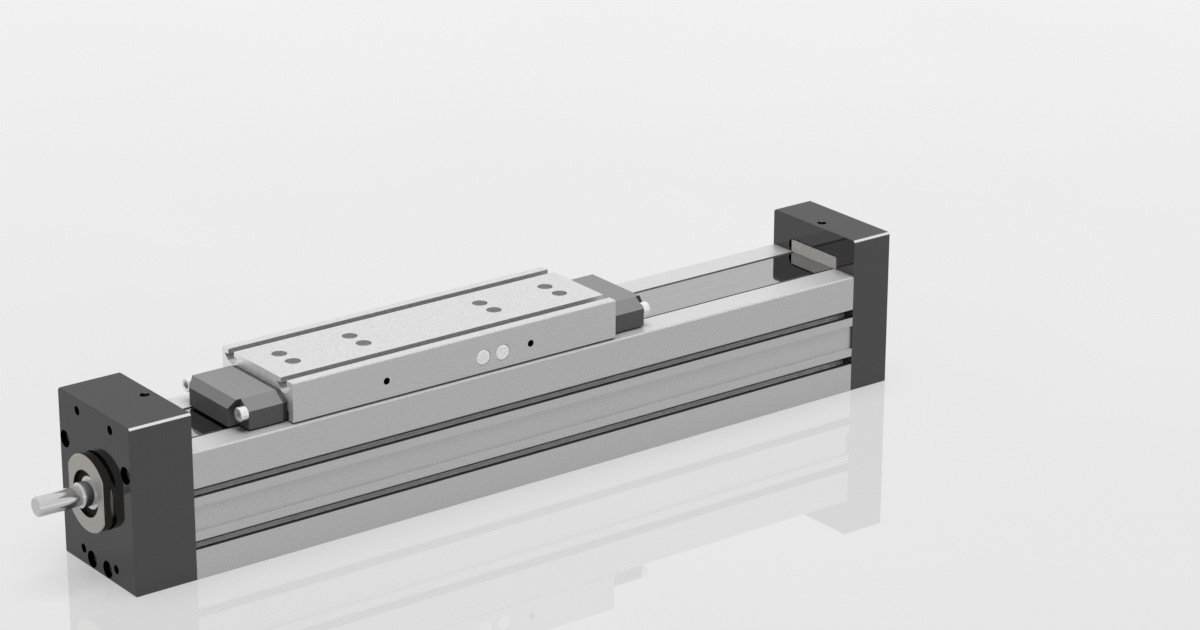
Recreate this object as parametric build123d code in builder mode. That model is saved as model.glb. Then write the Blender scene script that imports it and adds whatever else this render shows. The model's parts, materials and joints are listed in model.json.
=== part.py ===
from build123d import *
import math
import os

# Screw driven linear module, millimetres.
# X runs along the module, Y across it, Z up.
# The origin is the middle of the profile's bottom face.

os.makedirs("parts", exist_ok=True)

# Aluminium profile
profile_length = 490.0
profile_width = 80.0
profile_height = 78.0
profile_edge = 0.8
floor_thickness = 12.0
side_wall = 10.5
lip_thickness = 10.0
lip_opening = 42.0
cavity_corner = 1.5
side_slot_heights = (21.0, 53.0)
base_slot_offset = 20.0
slot_opening = 5.5
slot_lip = 3.5
slot_chamber = 10.0
slot_depth = 8.0
recess_low = 29.0
recess_high = 44.5
recess_depth = 1.3

# End blocks
drive_block_length = 40.0
idle_block_length = 30.0
block_height = 102.0
block_edge = 1.2
block_small_edge = 0.5
flange_hole_spacing_y = 37.0
flange_hole_spacing_z = 85.0
flange_hole_low = 9.4
flange_hole_r = 2.5
flange_hole_depth = 14.0
flange_hole_edge = 0.5

# Socket head screws M5 and the holes that take them
m5_r = 2.5
m5_head_r = 4.25
m5_head_height = 5.0
m5_socket_r = 2.3
m5_socket_depth = 2.5
m5_clear_r = 2.75
m5_thread_gap = 0.05
m5_counterbore_r = 5.2
block_screw_depth = 8.0
block_screw_grip = 15.0
high_screw_offset = 34.0
high_screw_height = 72.2
low_screw_offset = 8.8
low_screw_height = 6.0

# Cover band, its clamps and their set screws
band_width = 38.0
band_thickness = 0.4
band_drop = 0.3
band_grip = 12.0
pocket_width = 49.0
pocket_height = 9.7
pocket_depth = 15.0
clamp_width = 44.0
clamp_height = 8.3
clamp_length = 11.0
clamp_setback = 2.0
clamp_edge = 0.8
set_screw_r = 3.0
set_screw_length = 10.0
set_screw_socket_r = 1.7
set_screw_socket_depth = 3.0
set_screw_gap = 0.05
set_screw_inset = 6.5

# Ball screw and its nut
screw_height = 51.5
screw_r = 8.0
bearing_seat_r = 7.5
journal_r = 6.0
journal_length = 26.9
journal_edge = 0.8
bearing_seat_reach = 11.9
shoulder_r = 9.5
shoulder_length = 7.0
nut_r = 15.0
nut_length = 44.0
nut_edge = 1.0
nut_gap = 0.3
nut_screw_r = 3.0
nut_screw_length = 10.0

# Fixed bearing pair in the drive block, 15 x 35 x 11
drive_bearing_r = 17.5
drive_bearing_width = 11.0
drive_ball_r = 2.8
drive_inner_ring_r = 11.0
drive_outer_ring_r = 14.2
shoulder_hole_r = 14.5
bearing_wall = 12.0

# Retaining collar, lock nut and shaft seal at the drive end
collar_r = 23.25
collar_flats = 39.0
collar_thickness = 5.5
collar_gap = 1.4
collar_neck_r = 21.0
collar_bore_r = 14.0
collar_edge = 0.5
lock_nut_r = 12.5
lock_nut_length = 7.5
lock_nut_slots = 4
lock_nut_slot = 3.0
seal_length = 2.6
seal_recess = 2.0

# Floating bearing in the idle block, 12 x 28 x 8
idle_seat_r = 6.0
idle_bearing_r = 14.0
idle_bearing_width = 8.0
idle_ball_r = 2.2
idle_inner_ring_r = 8.6
idle_outer_ring_r = 11.2
idle_bearing_inset = 5.0
idle_bore_depth = 20.0
idle_shaft_tail = 3.0
clip_thickness = 1.0
clip_inner_r = 5.6
clip_outer_r = 8.2
clip_open_angle = 50.0

# Guide rail and runner blocks, rail size 20
rail_width = 20.0
rail_height = 17.5
rail_waist = 16.4
rail_foot_height = 6.0
rail_waist_low = 9.0
rail_waist_high = 11.5
rail_head_low = 13.5
rail_edge = 1.2
rail_end_margin = 3.0
rail_screw_pitch = 60.0
rail_screw_seat = 9.0
rail_counterbore_r = 4.75
rail_screw_grip = 7.0
runner_height = 30.0
runner_width = 44.0
runner_body_length = 50.0
runner_cap_length = 10.5
runner_cap_inset = 0.4
runner_clearance = 3.5
runner_edge = 3.0
runner_spacing = 190.0
runner_gap = 0.4
runner_screw_x = 36.0
runner_screw_y = 32.0
runner_screw_seat = 5.0
runner_screw_grip = 8.0

# Carriage, placed by the middle of its table
carriage_rest = -60.75
saddle_length = 276.0
saddle_width = 54.0
saddle_shoulder = 16.0
saddle_under_band = 0.8
tunnel_gap = 1.5
housing_length = 60.0
housing_width = 38.0
housing_over_rail = 3.5
neck_side_gap = 0.3
neck_margin = 1.85
neck_low = 17.0
neck_screw_r = 1.5
neck_head_r = 2.7
neck_head_height = 1.6
neck_screw_length = 7.0
neck_screw_low = 21.5
neck_screw_high = 3.2
neck_screw_places = (-90.0, 0.0, 90.0)
core_over_band = 0.5
core_neck_height = 6.3
core_gap = 0.4

# Table
table_length = 231.7
table_width = 76.0
table_height = 24.0
table_lift = 1.0
table_leg = 5.0
table_plate = 7.5
table_edge = 0.5
haunch_foot = 4.8
haunch_knee_in = 5.4
haunch_knee_drop = 1.8
haunch_top_in = 10.0
table_slot_margin = 9.5
table_slot_opening = 6.2
table_slot_lip = 3.2
table_slot_half = 6.9
table_slot_side = 0.7
table_slot_knee_half = 4.8
table_slot_knee = 6.3
table_slot_floor_half = 2.0
table_slot_depth = 8.4
table_hole_offset = 7.4
table_hole_inner = 47.0
table_hole_outer = 96.0
table_hole_r = 2.5
table_hole_depth = 15.0
sleeve_bore_r = 4.7
sleeve_bore_depth = 4.0
table_screw_places = (-71.5, -22.0, 22.0, 71.5)
table_screw_offset = 13.0
table_screw_seat = 6.8
table_screw_grip = 5.5
side_hole_r = 2.1
side_hole_places = (-51.5, 52.0)
side_hole_drop = 13.4
plug_r = 5.0
plug_places = (17.5, 31.6)
plug_drop = 14.5
plug_socket_r = 2.9
plug_socket_depth = 2.5
plug_gap = 0.05

# End caps of the carriage, end seals and band wipers
cap_gap = 3.05
cap_length = 30.35
cap_height = 16.7
cap_inset = 0.8
cap_slope_width = 8.2
cap_side_height = 11.1
cap_end_slope = 4.2
cap_screw_margin = 3.7
cap_screw_rise = 9.4
cap_pocket_r = 7.5
cap_pocket_depth = 7.25
cap_screw_grip = 14.0
seal_inset = 0.3
wiper_width = 38.0
wiper_length = 14.0
wiper_height = 9.0
wiper_wall = 3.0
wiper_gap = 0.3

# Rubber buffers on the inner faces of the blocks
buffer_r = 5.5
buffer_length = 14.0
buffer_offset = 21.0
buffer_edge = 1.5

# Clearances shared by fits, and the room under the end of a screw
seat_gap = 0.02
running_gap = 0.1
ball_gap = 0.04
thread_room = 1.0

# Places worked out from the sizes above
half_length = profile_length / 2
half_width = profile_width / 2
cavity_half = half_width - side_wall
cavity_height = profile_height - lip_thickness - floor_thickness
drive_face = -half_length - drive_block_length
idle_face = half_length + idle_block_length
screw_line = Axis((0, 0, screw_height), (1, 0, 0))
band_top = profile_height - band_drop
band_low = band_top - band_thickness
rail_top = floor_thickness + rail_height
runner_top = floor_thickness + runner_height
table_low = profile_height + table_lift
table_top = table_low + table_height
table_under = table_top - table_plate
table_inner_half = table_width / 2 - table_leg
core_low = band_top + core_over_band
core_ledge = core_low + core_neck_height
haunch_knee_y = table_inner_half - haunch_knee_in
haunch_top_y = table_inner_half - haunch_top_in
table_slot_offset = table_width / 2 - table_slot_margin
cap_width = 2 * (table_inner_half - cap_inset)
cap_flat_width = cap_width - 2 * cap_slope_width
cap_screw_offset = cap_width / 2 - cap_screw_margin
cap_screw_height = table_low + cap_screw_rise
neck_length = table_length - 2 * neck_margin
neck_half = band_width / 2 + neck_side_gap
neck_thickness = (lip_opening - band_width) / 2 - 2 * neck_side_gap
m5_hole_r = m5_r + m5_thread_gap


def across(x, side=1):
    """A plane across the module at x, its Y axis up, that faces +X or, with side -1, -X."""
    return Plane(origin=(x, 0, 0), x_dir=(0, side, 0), z_dir=(side, 0, 0))


def level(x, y, z, up=1):
    """A level plane with its origin at the point given, that faces up or, with up -1, down."""
    return Plane(origin=(x, y, z), x_dir=(1, 0, 0), z_dir=(0, 0, up))


def sideways(x, y, z, side):
    """An upright plane at the point given that faces +Y or -Y."""
    return Plane(origin=(x, y, z), x_dir=(-side, 0, 0), z_dir=(0, side, 0))


def end_point(x, y, z, side):
    """A plane across the module with its origin at the point given."""
    return Plane(origin=(x, y, z), x_dir=(0, side, 0), z_dir=(side, 0, 0))


def socket_screw(seat, length, r=m5_r, head_r=m5_head_r, head_height=m5_head_height):
    """A socket head screw: its head stands on the seat plane and its shank runs the other way."""
    with BuildPart() as screw:
        with BuildSketch(seat):
            Circle(head_r)
        extrude(amount=head_height)
        with BuildSketch(seat):
            Circle(r)
        extrude(amount=-length)
        with BuildSketch(seat.offset(head_height)):
            RegularPolygon(radius=m5_socket_r, side_count=6)
        extrude(amount=-m5_socket_depth, mode=Mode.SUBTRACT)
    return screw.part


def button_screw(seat, length, r, head_r, head_height):
    """A small screw with a plain low head."""
    with BuildPart() as screw:
        with BuildSketch(seat):
            Circle(head_r)
        extrude(amount=head_height)
        with BuildSketch(seat):
            Circle(r)
        extrude(amount=-length)
    return screw.part


def set_screw(top, r, length, socket_r, socket_depth):
    """A headless screw that runs down from its top plane, with a hexagon socket."""
    with BuildPart() as screw:
        with BuildSketch(top):
            Circle(r)
        extrude(amount=-length)
        with BuildSketch(top):
            RegularPolygon(radius=socket_r, side_count=6)
        extrude(amount=-socket_depth, mode=Mode.SUBTRACT)
    return screw.part


def ring(x_low, width, inner_r, outer_r):
    """A plain ring round the screw axis that starts at x_low."""
    with BuildPart() as part:
        with BuildSketch(across(x_low)):
            with Locations((0, screw_height)):
                Circle(outer_r)
                Circle(inner_r, mode=Mode.SUBTRACT)
        extrude(amount=width)
    return part.part


def t_slot(mouth, inward, opening, lip, chamber, depth):
    """Cut the section of a T-slot out of the sketch.

    The mouth is the middle of the opening, and inward is the unit step that leads into the slot.
    """
    x, y = mouth
    step_x, step_y = inward
    room = depth - lip
    for start, length, width in ((0, lip, opening), (lip, room, chamber)):
        middle = start + length / 2
        with Locations((x + step_x * middle, y + step_y * middle)):
            Rectangle(
                abs(step_x) * length + abs(step_y) * width,
                abs(step_y) * length + abs(step_x) * width,
                mode=Mode.SUBTRACT,
            )


# Profile: one extrusion with a rail bed inside, two lips above and T-slots outside
block_screw_places = [
    (-high_screw_offset, high_screw_height),
    (high_screw_offset, high_screw_height),
    (-low_screw_offset, low_screw_height),
    (low_screw_offset, low_screw_height),
]
rail_length = profile_length - 2 * rail_end_margin
rail_screw_count = int((rail_length - rail_screw_pitch / 2) // rail_screw_pitch) + 1
rail_screw_places = [
    (index - (rail_screw_count - 1) / 2) * rail_screw_pitch for index in range(rail_screw_count)
]
with BuildPart() as profile:
    with BuildSketch(across(-half_length)):
        with Locations((0, profile_height / 2)):
            Rectangle(profile_width, profile_height)
        with Locations((0, floor_thickness + cavity_height / 2)):
            RectangleRounded(2 * cavity_half, cavity_height, cavity_corner, mode=Mode.SUBTRACT)
        with Locations((0, profile_height - lip_thickness / 2)):
            Rectangle(lip_opening, lip_thickness, mode=Mode.SUBTRACT)
        slot_sizes = (slot_opening, slot_lip, slot_chamber, slot_depth)
        for side in (-1, 1):
            for height in side_slot_heights:
                t_slot((side * half_width, height), (-side, 0), *slot_sizes)
            t_slot((side * base_slot_offset, 0), (0, 1), *slot_sizes)
            with Locations((side * (half_width - recess_depth / 2), (recess_low + recess_high) / 2)):
                Rectangle(recess_depth, recess_high - recess_low, mode=Mode.SUBTRACT)
        with Locations(*block_screw_places):
            Circle(m5_hole_r, mode=Mode.SUBTRACT)
    extrude(amount=profile_length)
    top_edges = profile.edges().filter_by(Axis.X).group_by(Axis.Z)[-1].sort_by(Axis.Y)
    chamfer([top_edges[0], top_edges[-1]], length=profile_edge)
    with BuildSketch(Plane.XY.offset(floor_thickness)):
        with Locations(*[(x, 0) for x in rail_screw_places]):
            Circle(m5_hole_r)
    extrude(amount=-rail_screw_grip - thread_room, mode=Mode.SUBTRACT)
profile.part.label = "profile"
export_step(profile.part, "parts/profile.step")


# Guide rail: hardened bar with a waist on each flank and counterbored holes
def rail_outline(room=0.0):
    """The closed outline of the rail on the profile's floor, widened and raised by the room given."""
    half = [
        (rail_width / 2 + room, 0),
        (rail_width / 2 + room, rail_foot_height),
        (rail_waist / 2 + room, rail_waist_low),
        (rail_waist / 2 + room, rail_waist_high),
        (rail_width / 2 + room, rail_head_low),
        (rail_width / 2 + room, rail_height + room - rail_edge),
        (rail_width / 2 + room - rail_edge, rail_height + room),
    ]
    left = [(-y, z) for y, z in reversed(half)]
    return [(y, floor_thickness + z) for y, z in half + left]


with BuildPart() as guide_rail:
    with BuildSketch(across(-rail_length / 2)):
        with BuildLine():
            Polyline(*rail_outline(), close=True)
        make_face()
    extrude(amount=rail_length)
    with BuildSketch(Plane.XY.offset(rail_top)):
        with Locations(*[(x, 0) for x in rail_screw_places]):
            Circle(m5_clear_r)
    extrude(amount=-rail_height, mode=Mode.SUBTRACT)
    with BuildSketch(Plane.XY.offset(floor_thickness + rail_screw_seat)):
        with Locations(*[(x, 0) for x in rail_screw_places]):
            Circle(rail_counterbore_r)
    extrude(amount=rail_height - rail_screw_seat, mode=Mode.SUBTRACT)
guide_rail.part.label = "guide_rail"
export_step(guide_rail.part, "parts/guide_rail.step")

rail_screw_list = [
    socket_screw(level(x, 0, floor_thickness + rail_screw_seat), rail_screw_seat + rail_screw_grip)
    for x in rail_screw_places
]
with BuildPart() as rail_screws:
    add(rail_screw_list)
rail_screws.part.label = "rail_screws"
export_step(rail_screws.part, "parts/rail_screws.step")

# Drive block: stepped bearing bore, collar seat, flange holes and screw counterbores
pocket_centre = band_low + pocket_height / 2
flange_holes = [
    (side * flange_hole_spacing_y / 2, flange_hole_low + rise)
    for side in (-1, 1)
    for rise in (0, flange_hole_spacing_z)
]
bearing_end = -half_length - bearing_wall
bearing_start = bearing_end - 2 * drive_bearing_width
drive_screw_x = -half_length - set_screw_inset
with BuildPart() as drive_block:
    with BuildSketch(across(drive_face)):
        with Locations((0, block_height / 2)):
            Rectangle(profile_width, block_height)
    extrude(amount=drive_block_length)
    chamfer(drive_block.edges().filter_by(Axis.X).group_by(Axis.Z)[-1], length=block_edge)
    chamfer(drive_block.faces().sort_by(Axis.X)[0].edges(), length=block_small_edge)
    with BuildSketch(across(drive_face)):
        with Locations((0, screw_height)):
            Circle(collar_neck_r + seat_gap)
    extrude(amount=bearing_start - drive_face, mode=Mode.SUBTRACT)
    with BuildSketch(across(bearing_start)):
        with Locations((0, screw_height)):
            Circle(drive_bearing_r + seat_gap)
    extrude(amount=2 * drive_bearing_width, mode=Mode.SUBTRACT)
    with BuildSketch(across(bearing_end)):
        with Locations((0, screw_height)):
            Circle(shoulder_hole_r)
    extrude(amount=bearing_wall, mode=Mode.SUBTRACT)
    with BuildSketch(across(drive_face)):
        with Locations(*flange_holes):
            Circle(flange_hole_r)
    extrude(amount=flange_hole_depth, mode=Mode.SUBTRACT)
    mouths = drive_block.edges().filter_by(GeomType.CIRCLE).group_by(Axis.X)[0]
    chamfer(mouths.filter_by(lambda edge: edge.radius < flange_hole_r + seat_gap), length=flange_hole_edge)
    with BuildSketch(across(drive_face)):
        with Locations(*block_screw_places):
            Circle(m5_counterbore_r)
    extrude(amount=block_screw_depth, mode=Mode.SUBTRACT)
    with BuildSketch(across(drive_face)):
        with Locations(*block_screw_places):
            Circle(m5_clear_r)
    extrude(amount=drive_block_length, mode=Mode.SUBTRACT)
    with BuildSketch(across(-half_length, -1)):
        with Locations((0, pocket_centre)):
            SlotOverall(pocket_width, pocket_height)
    extrude(amount=pocket_depth, mode=Mode.SUBTRACT)
    with BuildSketch(level(drive_screw_x, 0, block_height)):
        Circle(set_screw_r + set_screw_gap)
    extrude(amount=pocket_centre - block_height, mode=Mode.SUBTRACT)
drive_block.part.label = "drive_block"
export_step(drive_block.part, "parts/drive_block.step")

drive_screw_list = [
    socket_screw(
        end_point(drive_face + block_screw_depth, y, z, -1),
        drive_block_length - block_screw_depth + block_screw_grip,
    )
    for y, z in block_screw_places
]
with BuildPart() as drive_block_screws:
    add(drive_screw_list)
drive_block_screws.part.label = "drive_block_screws"
export_step(drive_block_screws.part, "parts/drive_block_screws.step")

# Idle block: blind bore for the floating bearing, closed towards the outside
idle_screw_x = half_length + set_screw_inset
with BuildPart() as idle_block:
    with BuildSketch(across(half_length)):
        with Locations((0, block_height / 2)):
            Rectangle(profile_width, block_height)
    extrude(amount=idle_block_length)
    chamfer(idle_block.edges().filter_by(Axis.X).group_by(Axis.Z)[-1], length=block_edge)
    chamfer(idle_block.faces().sort_by(Axis.X)[-1].edges(), length=block_small_edge)
    with BuildSketch(across(half_length)):
        with Locations((0, screw_height)):
            Circle(idle_bearing_r + seat_gap)
    extrude(amount=idle_bore_depth, mode=Mode.SUBTRACT)
    with BuildSketch(across(idle_face, -1)):
        with Locations(*block_screw_places):
            Circle(m5_counterbore_r)
    extrude(amount=block_screw_depth, mode=Mode.SUBTRACT)
    with BuildSketch(across(idle_face, -1)):
        with Locations(*block_screw_places):
            Circle(m5_clear_r)
    extrude(amount=idle_block_length, mode=Mode.SUBTRACT)
    with BuildSketch(across(half_length)):
        with Locations((0, pocket_centre)):
            SlotOverall(pocket_width, pocket_height)
    extrude(amount=pocket_depth, mode=Mode.SUBTRACT)
    with BuildSketch(level(idle_screw_x, 0, block_height)):
        Circle(set_screw_r + set_screw_gap)
    extrude(amount=pocket_centre - block_height, mode=Mode.SUBTRACT)
idle_block.part.label = "idle_block"
export_step(idle_block.part, "parts/idle_block.step")

idle_screw_list = [
    socket_screw(
        end_point(idle_face - block_screw_depth, y, z, 1),
        idle_block_length - block_screw_depth + block_screw_grip,
    )
    for y, z in block_screw_places
]
with BuildPart() as idle_block_screws:
    add(idle_screw_list)
idle_block_screws.part.label = "idle_block_screws"
export_step(idle_block_screws.part, "parts/idle_block_screws.step")

# Retaining collar: screwed into the drive block, it presses on the outer bearing rings
collar_inner = drive_face - collar_gap
collar_outer = collar_inner - collar_thickness
with BuildPart() as bearing_collar:
    with BuildSketch(across(collar_outer)):
        with Locations((0, screw_height)):
            Circle(collar_r)
            Rectangle(collar_flats, 2 * collar_r, mode=Mode.INTERSECT)
    extrude(amount=collar_thickness)
    chamfer(bearing_collar.faces().sort_by(Axis.X)[0].edges(), length=collar_edge)
    with BuildSketch(across(collar_inner)):
        with Locations((0, screw_height)):
            Circle(collar_neck_r)
    extrude(amount=bearing_start - collar_inner)
    with BuildSketch(across(collar_outer)):
        with Locations((0, screw_height)):
            Circle(collar_bore_r)
    extrude(amount=bearing_start - collar_outer, mode=Mode.SUBTRACT)
bearing_collar.part.label = "bearing_collar"
export_step(bearing_collar.part, "parts/bearing_collar.step")

seal_start = collar_outer + seal_recess
with BuildPart() as shaft_seal:
    with BuildSketch(across(seal_start)):
        with Locations((0, screw_height)):
            Circle(collar_bore_r - seat_gap)
            Circle(bearing_seat_r + running_gap, mode=Mode.SUBTRACT)
    extrude(amount=seal_length)
shaft_seal.part.label = "shaft_seal"
export_step(shaft_seal.part, "parts/shaft_seal.step")

# Fixed bearing pair: outer rings rest in the block, inner rings and ball rows turn with the screw
drive_bearing_starts = (bearing_start, bearing_start + drive_bearing_width)
drive_ring_width = drive_bearing_width - seat_gap
drive_outer_list = [
    ring(x, drive_ring_width, drive_outer_ring_r, drive_bearing_r) for x in drive_bearing_starts
]
with BuildPart() as drive_bearing_outer_rings:
    add(drive_outer_list)
drive_bearing_outer_rings.part.label = "drive_bearing_outer_rings"
export_step(drive_bearing_outer_rings.part, "parts/drive_bearing_outer_rings.step")

drive_inner_list = [
    ring(x, drive_ring_width, bearing_seat_r + seat_gap, drive_inner_ring_r) for x in drive_bearing_starts
]
with BuildPart() as drive_bearing_inner_rings:
    add(drive_inner_list)
drive_bearing_inner_rings.part.label = "drive_bearing_inner_rings"
export_step(drive_bearing_inner_rings.part, "parts/drive_bearing_inner_rings.step")

# Each row of balls with its cage is one ring between the two bearing rings
drive_row_inset = drive_bearing_width / 2 - drive_ball_r
drive_row_list = [
    ring(x + drive_row_inset, 2 * drive_ball_r, drive_inner_ring_r + ball_gap, drive_outer_ring_r - ball_gap)
    for x in drive_bearing_starts
]
with BuildPart() as drive_bearing_balls:
    add(drive_row_list)
drive_bearing_balls.part.label = "drive_bearing_balls"
export_step(drive_bearing_balls.part, "parts/drive_bearing_balls.step")

with BuildPart() as lock_nut:
    with BuildSketch(across(bearing_start - lock_nut_length)):
        with Locations((0, screw_height)):
            Circle(lock_nut_r)
            Circle(bearing_seat_r + seat_gap, mode=Mode.SUBTRACT)
        with Locations((0, screw_height)):
            with PolarLocations(lock_nut_r, lock_nut_slots):
                Rectangle(lock_nut_slot, lock_nut_slot, mode=Mode.SUBTRACT)
    extrude(amount=lock_nut_length)
lock_nut.part.label = "lock_nut"
export_step(lock_nut.part, "parts/lock_nut.step")

# Floating bearing at the idle end, held on the shaft by a clip
idle_bearing_start = half_length + idle_bearing_inset
idle_bearing_end = idle_bearing_start + idle_bearing_width
idle_row_start = idle_bearing_start + idle_bearing_width / 2 - idle_ball_r
idle_outer_ring = ring(idle_bearing_start, idle_bearing_width, idle_outer_ring_r, idle_bearing_r)
with BuildPart() as idle_bearing_outer_ring:
    add(idle_outer_ring)
idle_bearing_outer_ring.part.label = "idle_bearing_outer_ring"
export_step(idle_bearing_outer_ring.part, "parts/idle_bearing_outer_ring.step")

idle_inner_ring = ring(idle_bearing_start, idle_bearing_width, idle_seat_r + seat_gap, idle_inner_ring_r)
with BuildPart() as idle_bearing_inner_ring:
    add(idle_inner_ring)
idle_bearing_inner_ring.part.label = "idle_bearing_inner_ring"
export_step(idle_bearing_inner_ring.part, "parts/idle_bearing_inner_ring.step")

idle_row = ring(
    idle_row_start, 2 * idle_ball_r, idle_inner_ring_r + ball_gap, idle_outer_ring_r - ball_gap
)
with BuildPart() as idle_bearing_balls:
    add(idle_row)
idle_bearing_balls.part.label = "idle_bearing_balls"
export_step(idle_bearing_balls.part, "parts/idle_bearing_balls.step")

clip_gap_reach = 2 * clip_outer_r
clip_gap_half = clip_gap_reach * math.tan(math.radians(clip_open_angle / 2))
with BuildPart() as retaining_ring:
    with BuildSketch(across(idle_bearing_end)):
        with Locations((0, screw_height)):
            Circle(clip_outer_r)
            Circle(clip_inner_r, mode=Mode.SUBTRACT)
        with BuildLine():
            Polyline(
                (0, screw_height),
                (-clip_gap_half, screw_height + clip_gap_reach),
                (clip_gap_half, screw_height + clip_gap_reach),
                close=True,
            )
        make_face(mode=Mode.SUBTRACT)
    extrude(amount=clip_thickness)
retaining_ring.part.label = "retaining_ring"
export_step(retaining_ring.part, "parts/retaining_ring.step")

# Ball screw: journal, bearing seat, shoulder, long shaft and the idle seat with its clip groove
journal_start = drive_face - bearing_seat_reach - journal_length
seat_start = drive_face - bearing_seat_reach
shoulder_end = bearing_end + shoulder_length
idle_seat_start = idle_bearing_start
clip_end = idle_bearing_end + clip_thickness
shaft_end = clip_end + idle_shaft_tail
screw_steps = [
    (journal_start, journal_start + journal_edge, journal_r - journal_edge, journal_r),
    (journal_start + journal_edge, seat_start, journal_r, journal_r),
    (seat_start, seat_start + journal_edge, bearing_seat_r - journal_edge, bearing_seat_r),
    (seat_start + journal_edge, bearing_end, bearing_seat_r, bearing_seat_r),
    (bearing_end, shoulder_end, shoulder_r, shoulder_r),
    (shoulder_end, idle_seat_start, screw_r, screw_r),
    (idle_seat_start, idle_bearing_end, idle_seat_r, idle_seat_r),
    (idle_bearing_end, clip_end, clip_inner_r - seat_gap, clip_inner_r - seat_gap),
    (clip_end, shaft_end - journal_edge, idle_seat_r, idle_seat_r),
    (shaft_end - journal_edge, shaft_end, idle_seat_r, idle_seat_r - journal_edge),
]
screw_outline = [(journal_start, screw_height)]
for start, end, start_r, end_r in screw_steps:
    screw_outline.append((start, screw_height + start_r))
    screw_outline.append((end, screw_height + end_r))
screw_outline.append((shaft_end, screw_height))
screw_outline = [
    point for index, point in enumerate(screw_outline) if index == 0 or point != screw_outline[index - 1]
]
with BuildPart() as ball_screw:
    with BuildSketch(Plane.XZ):
        with BuildLine():
            Polyline(*screw_outline, close=True)
        make_face()
    revolve(axis=screw_line)
ball_screw.part.label = "ball_screw"
export_step(ball_screw.part, "parts/ball_screw.step")

# Cover band: a straight strip held by a clamp block at each end
band_half = half_length + band_grip
with BuildPart() as cover_band:
    with BuildSketch(across(-band_half)):
        with Locations((0, band_low + band_thickness / 2)):
            Rectangle(band_width, band_thickness)
    extrude(amount=2 * band_half)
cover_band.part.label = "cover_band"
export_step(cover_band.part, "parts/cover_band.step")

clamp_centre = band_top + clamp_height / 2
for side, name in ((-1, "drive"), (1, "idle")):
    with BuildPart() as band_clamp:
        with BuildSketch(across(side * (half_length + clamp_setback), side)):
            with Locations((0, clamp_centre)):
                clamp_face = Rectangle(clamp_width, clamp_height)
            chamfer(clamp_face.vertices().group_by(Axis.Y)[0], length=clamp_edge)
        extrude(amount=clamp_length)
    band_clamp.part.label = f"band_clamp_{name}"
    export_step(band_clamp.part, f"parts/band_clamp_{name}.step")

clamp_top = band_top + clamp_height
clamp_screw_list = [
    set_screw(
        level(x, 0, clamp_top + set_screw_length),
        set_screw_r,
        set_screw_length,
        set_screw_socket_r,
        set_screw_socket_depth,
    )
    for x in (drive_screw_x, idle_screw_x)
]
with BuildPart() as clamp_set_screws:
    add(clamp_screw_list)
clamp_set_screws.part.label = "clamp_set_screws"
export_step(clamp_set_screws.part, "parts/clamp_set_screws.step")

# Buffers: two rubber cylinders on the inner face of each block
for side, name in ((-1, "drive"), (1, "idle")):
    with BuildPart() as buffers:
        with BuildSketch(across(side * half_length, -side)):
            with Locations((-buffer_offset, screw_height), (buffer_offset, screw_height)):
                Circle(buffer_r)
        extrude(amount=buffer_length)
        free_ends = buffers.faces().filter_by(Axis.X).group_by(Axis.X)[0 if side > 0 else -1]
        chamfer(free_ends.edges(), length=buffer_edge)
    buffers.part.label = f"buffers_{name}"
    export_step(buffers.part, f"parts/buffers_{name}.step")

# Runner blocks: steel bodies that embrace the rail's head, with a plastic cap at each end
runner_low = floor_thickness + runner_clearance
runner_half = runner_width / 2


def runner_outline(inset):
    """The outer outline of a runner, drawn in by the inset."""
    half = [
        (runner_half - inset - runner_edge / 2, runner_low + inset),
        (runner_half - inset, runner_low + inset + runner_edge),
        (runner_half - inset, runner_top - inset - runner_edge / 2),
        (runner_half - inset - runner_edge / 2, runner_top - inset),
    ]
    left = [(-y, z) for y, z in reversed(half)]
    return half + left


for side, name in ((-1, "drive"), (1, "idle")):
    runner_middle = carriage_rest + side * runner_spacing / 2
    screw_places = [
        (runner_middle + x * runner_screw_x / 2, y * runner_screw_y / 2) for x in (-1, 1) for y in (-1, 1)
    ]
    with BuildPart() as runner_block:
        with BuildSketch(across(runner_middle - runner_body_length / 2)):
            with BuildLine():
                Polyline(*runner_outline(0), close=True)
            make_face()
            with BuildLine():
                Polyline(*rail_outline(runner_gap), close=True)
            make_face(mode=Mode.SUBTRACT)
        extrude(amount=runner_body_length)
        with BuildSketch(Plane.XY.offset(runner_top)):
            with Locations(*screw_places):
                Circle(m5_hole_r)
        extrude(amount=-runner_screw_grip, mode=Mode.SUBTRACT)
    runner_block.part.label = f"runner_block_{name}"
    export_step(runner_block.part, f"parts/runner_block_{name}.step")

    with BuildPart() as runner_end_caps:
        for end in (-1, 1):
            with BuildSketch(across(runner_middle + end * runner_body_length / 2, end)):
                with BuildLine():
                    Polyline(*runner_outline(runner_cap_inset), close=True)
                make_face()
                with BuildLine():
                    Polyline(*rail_outline(runner_gap), close=True)
                make_face(mode=Mode.SUBTRACT)
            extrude(amount=runner_cap_length)
    runner_end_caps.part.label = f"runner_end_caps_{name}"
    export_step(runner_end_caps.part, f"parts/runner_end_caps_{name}.step")

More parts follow.
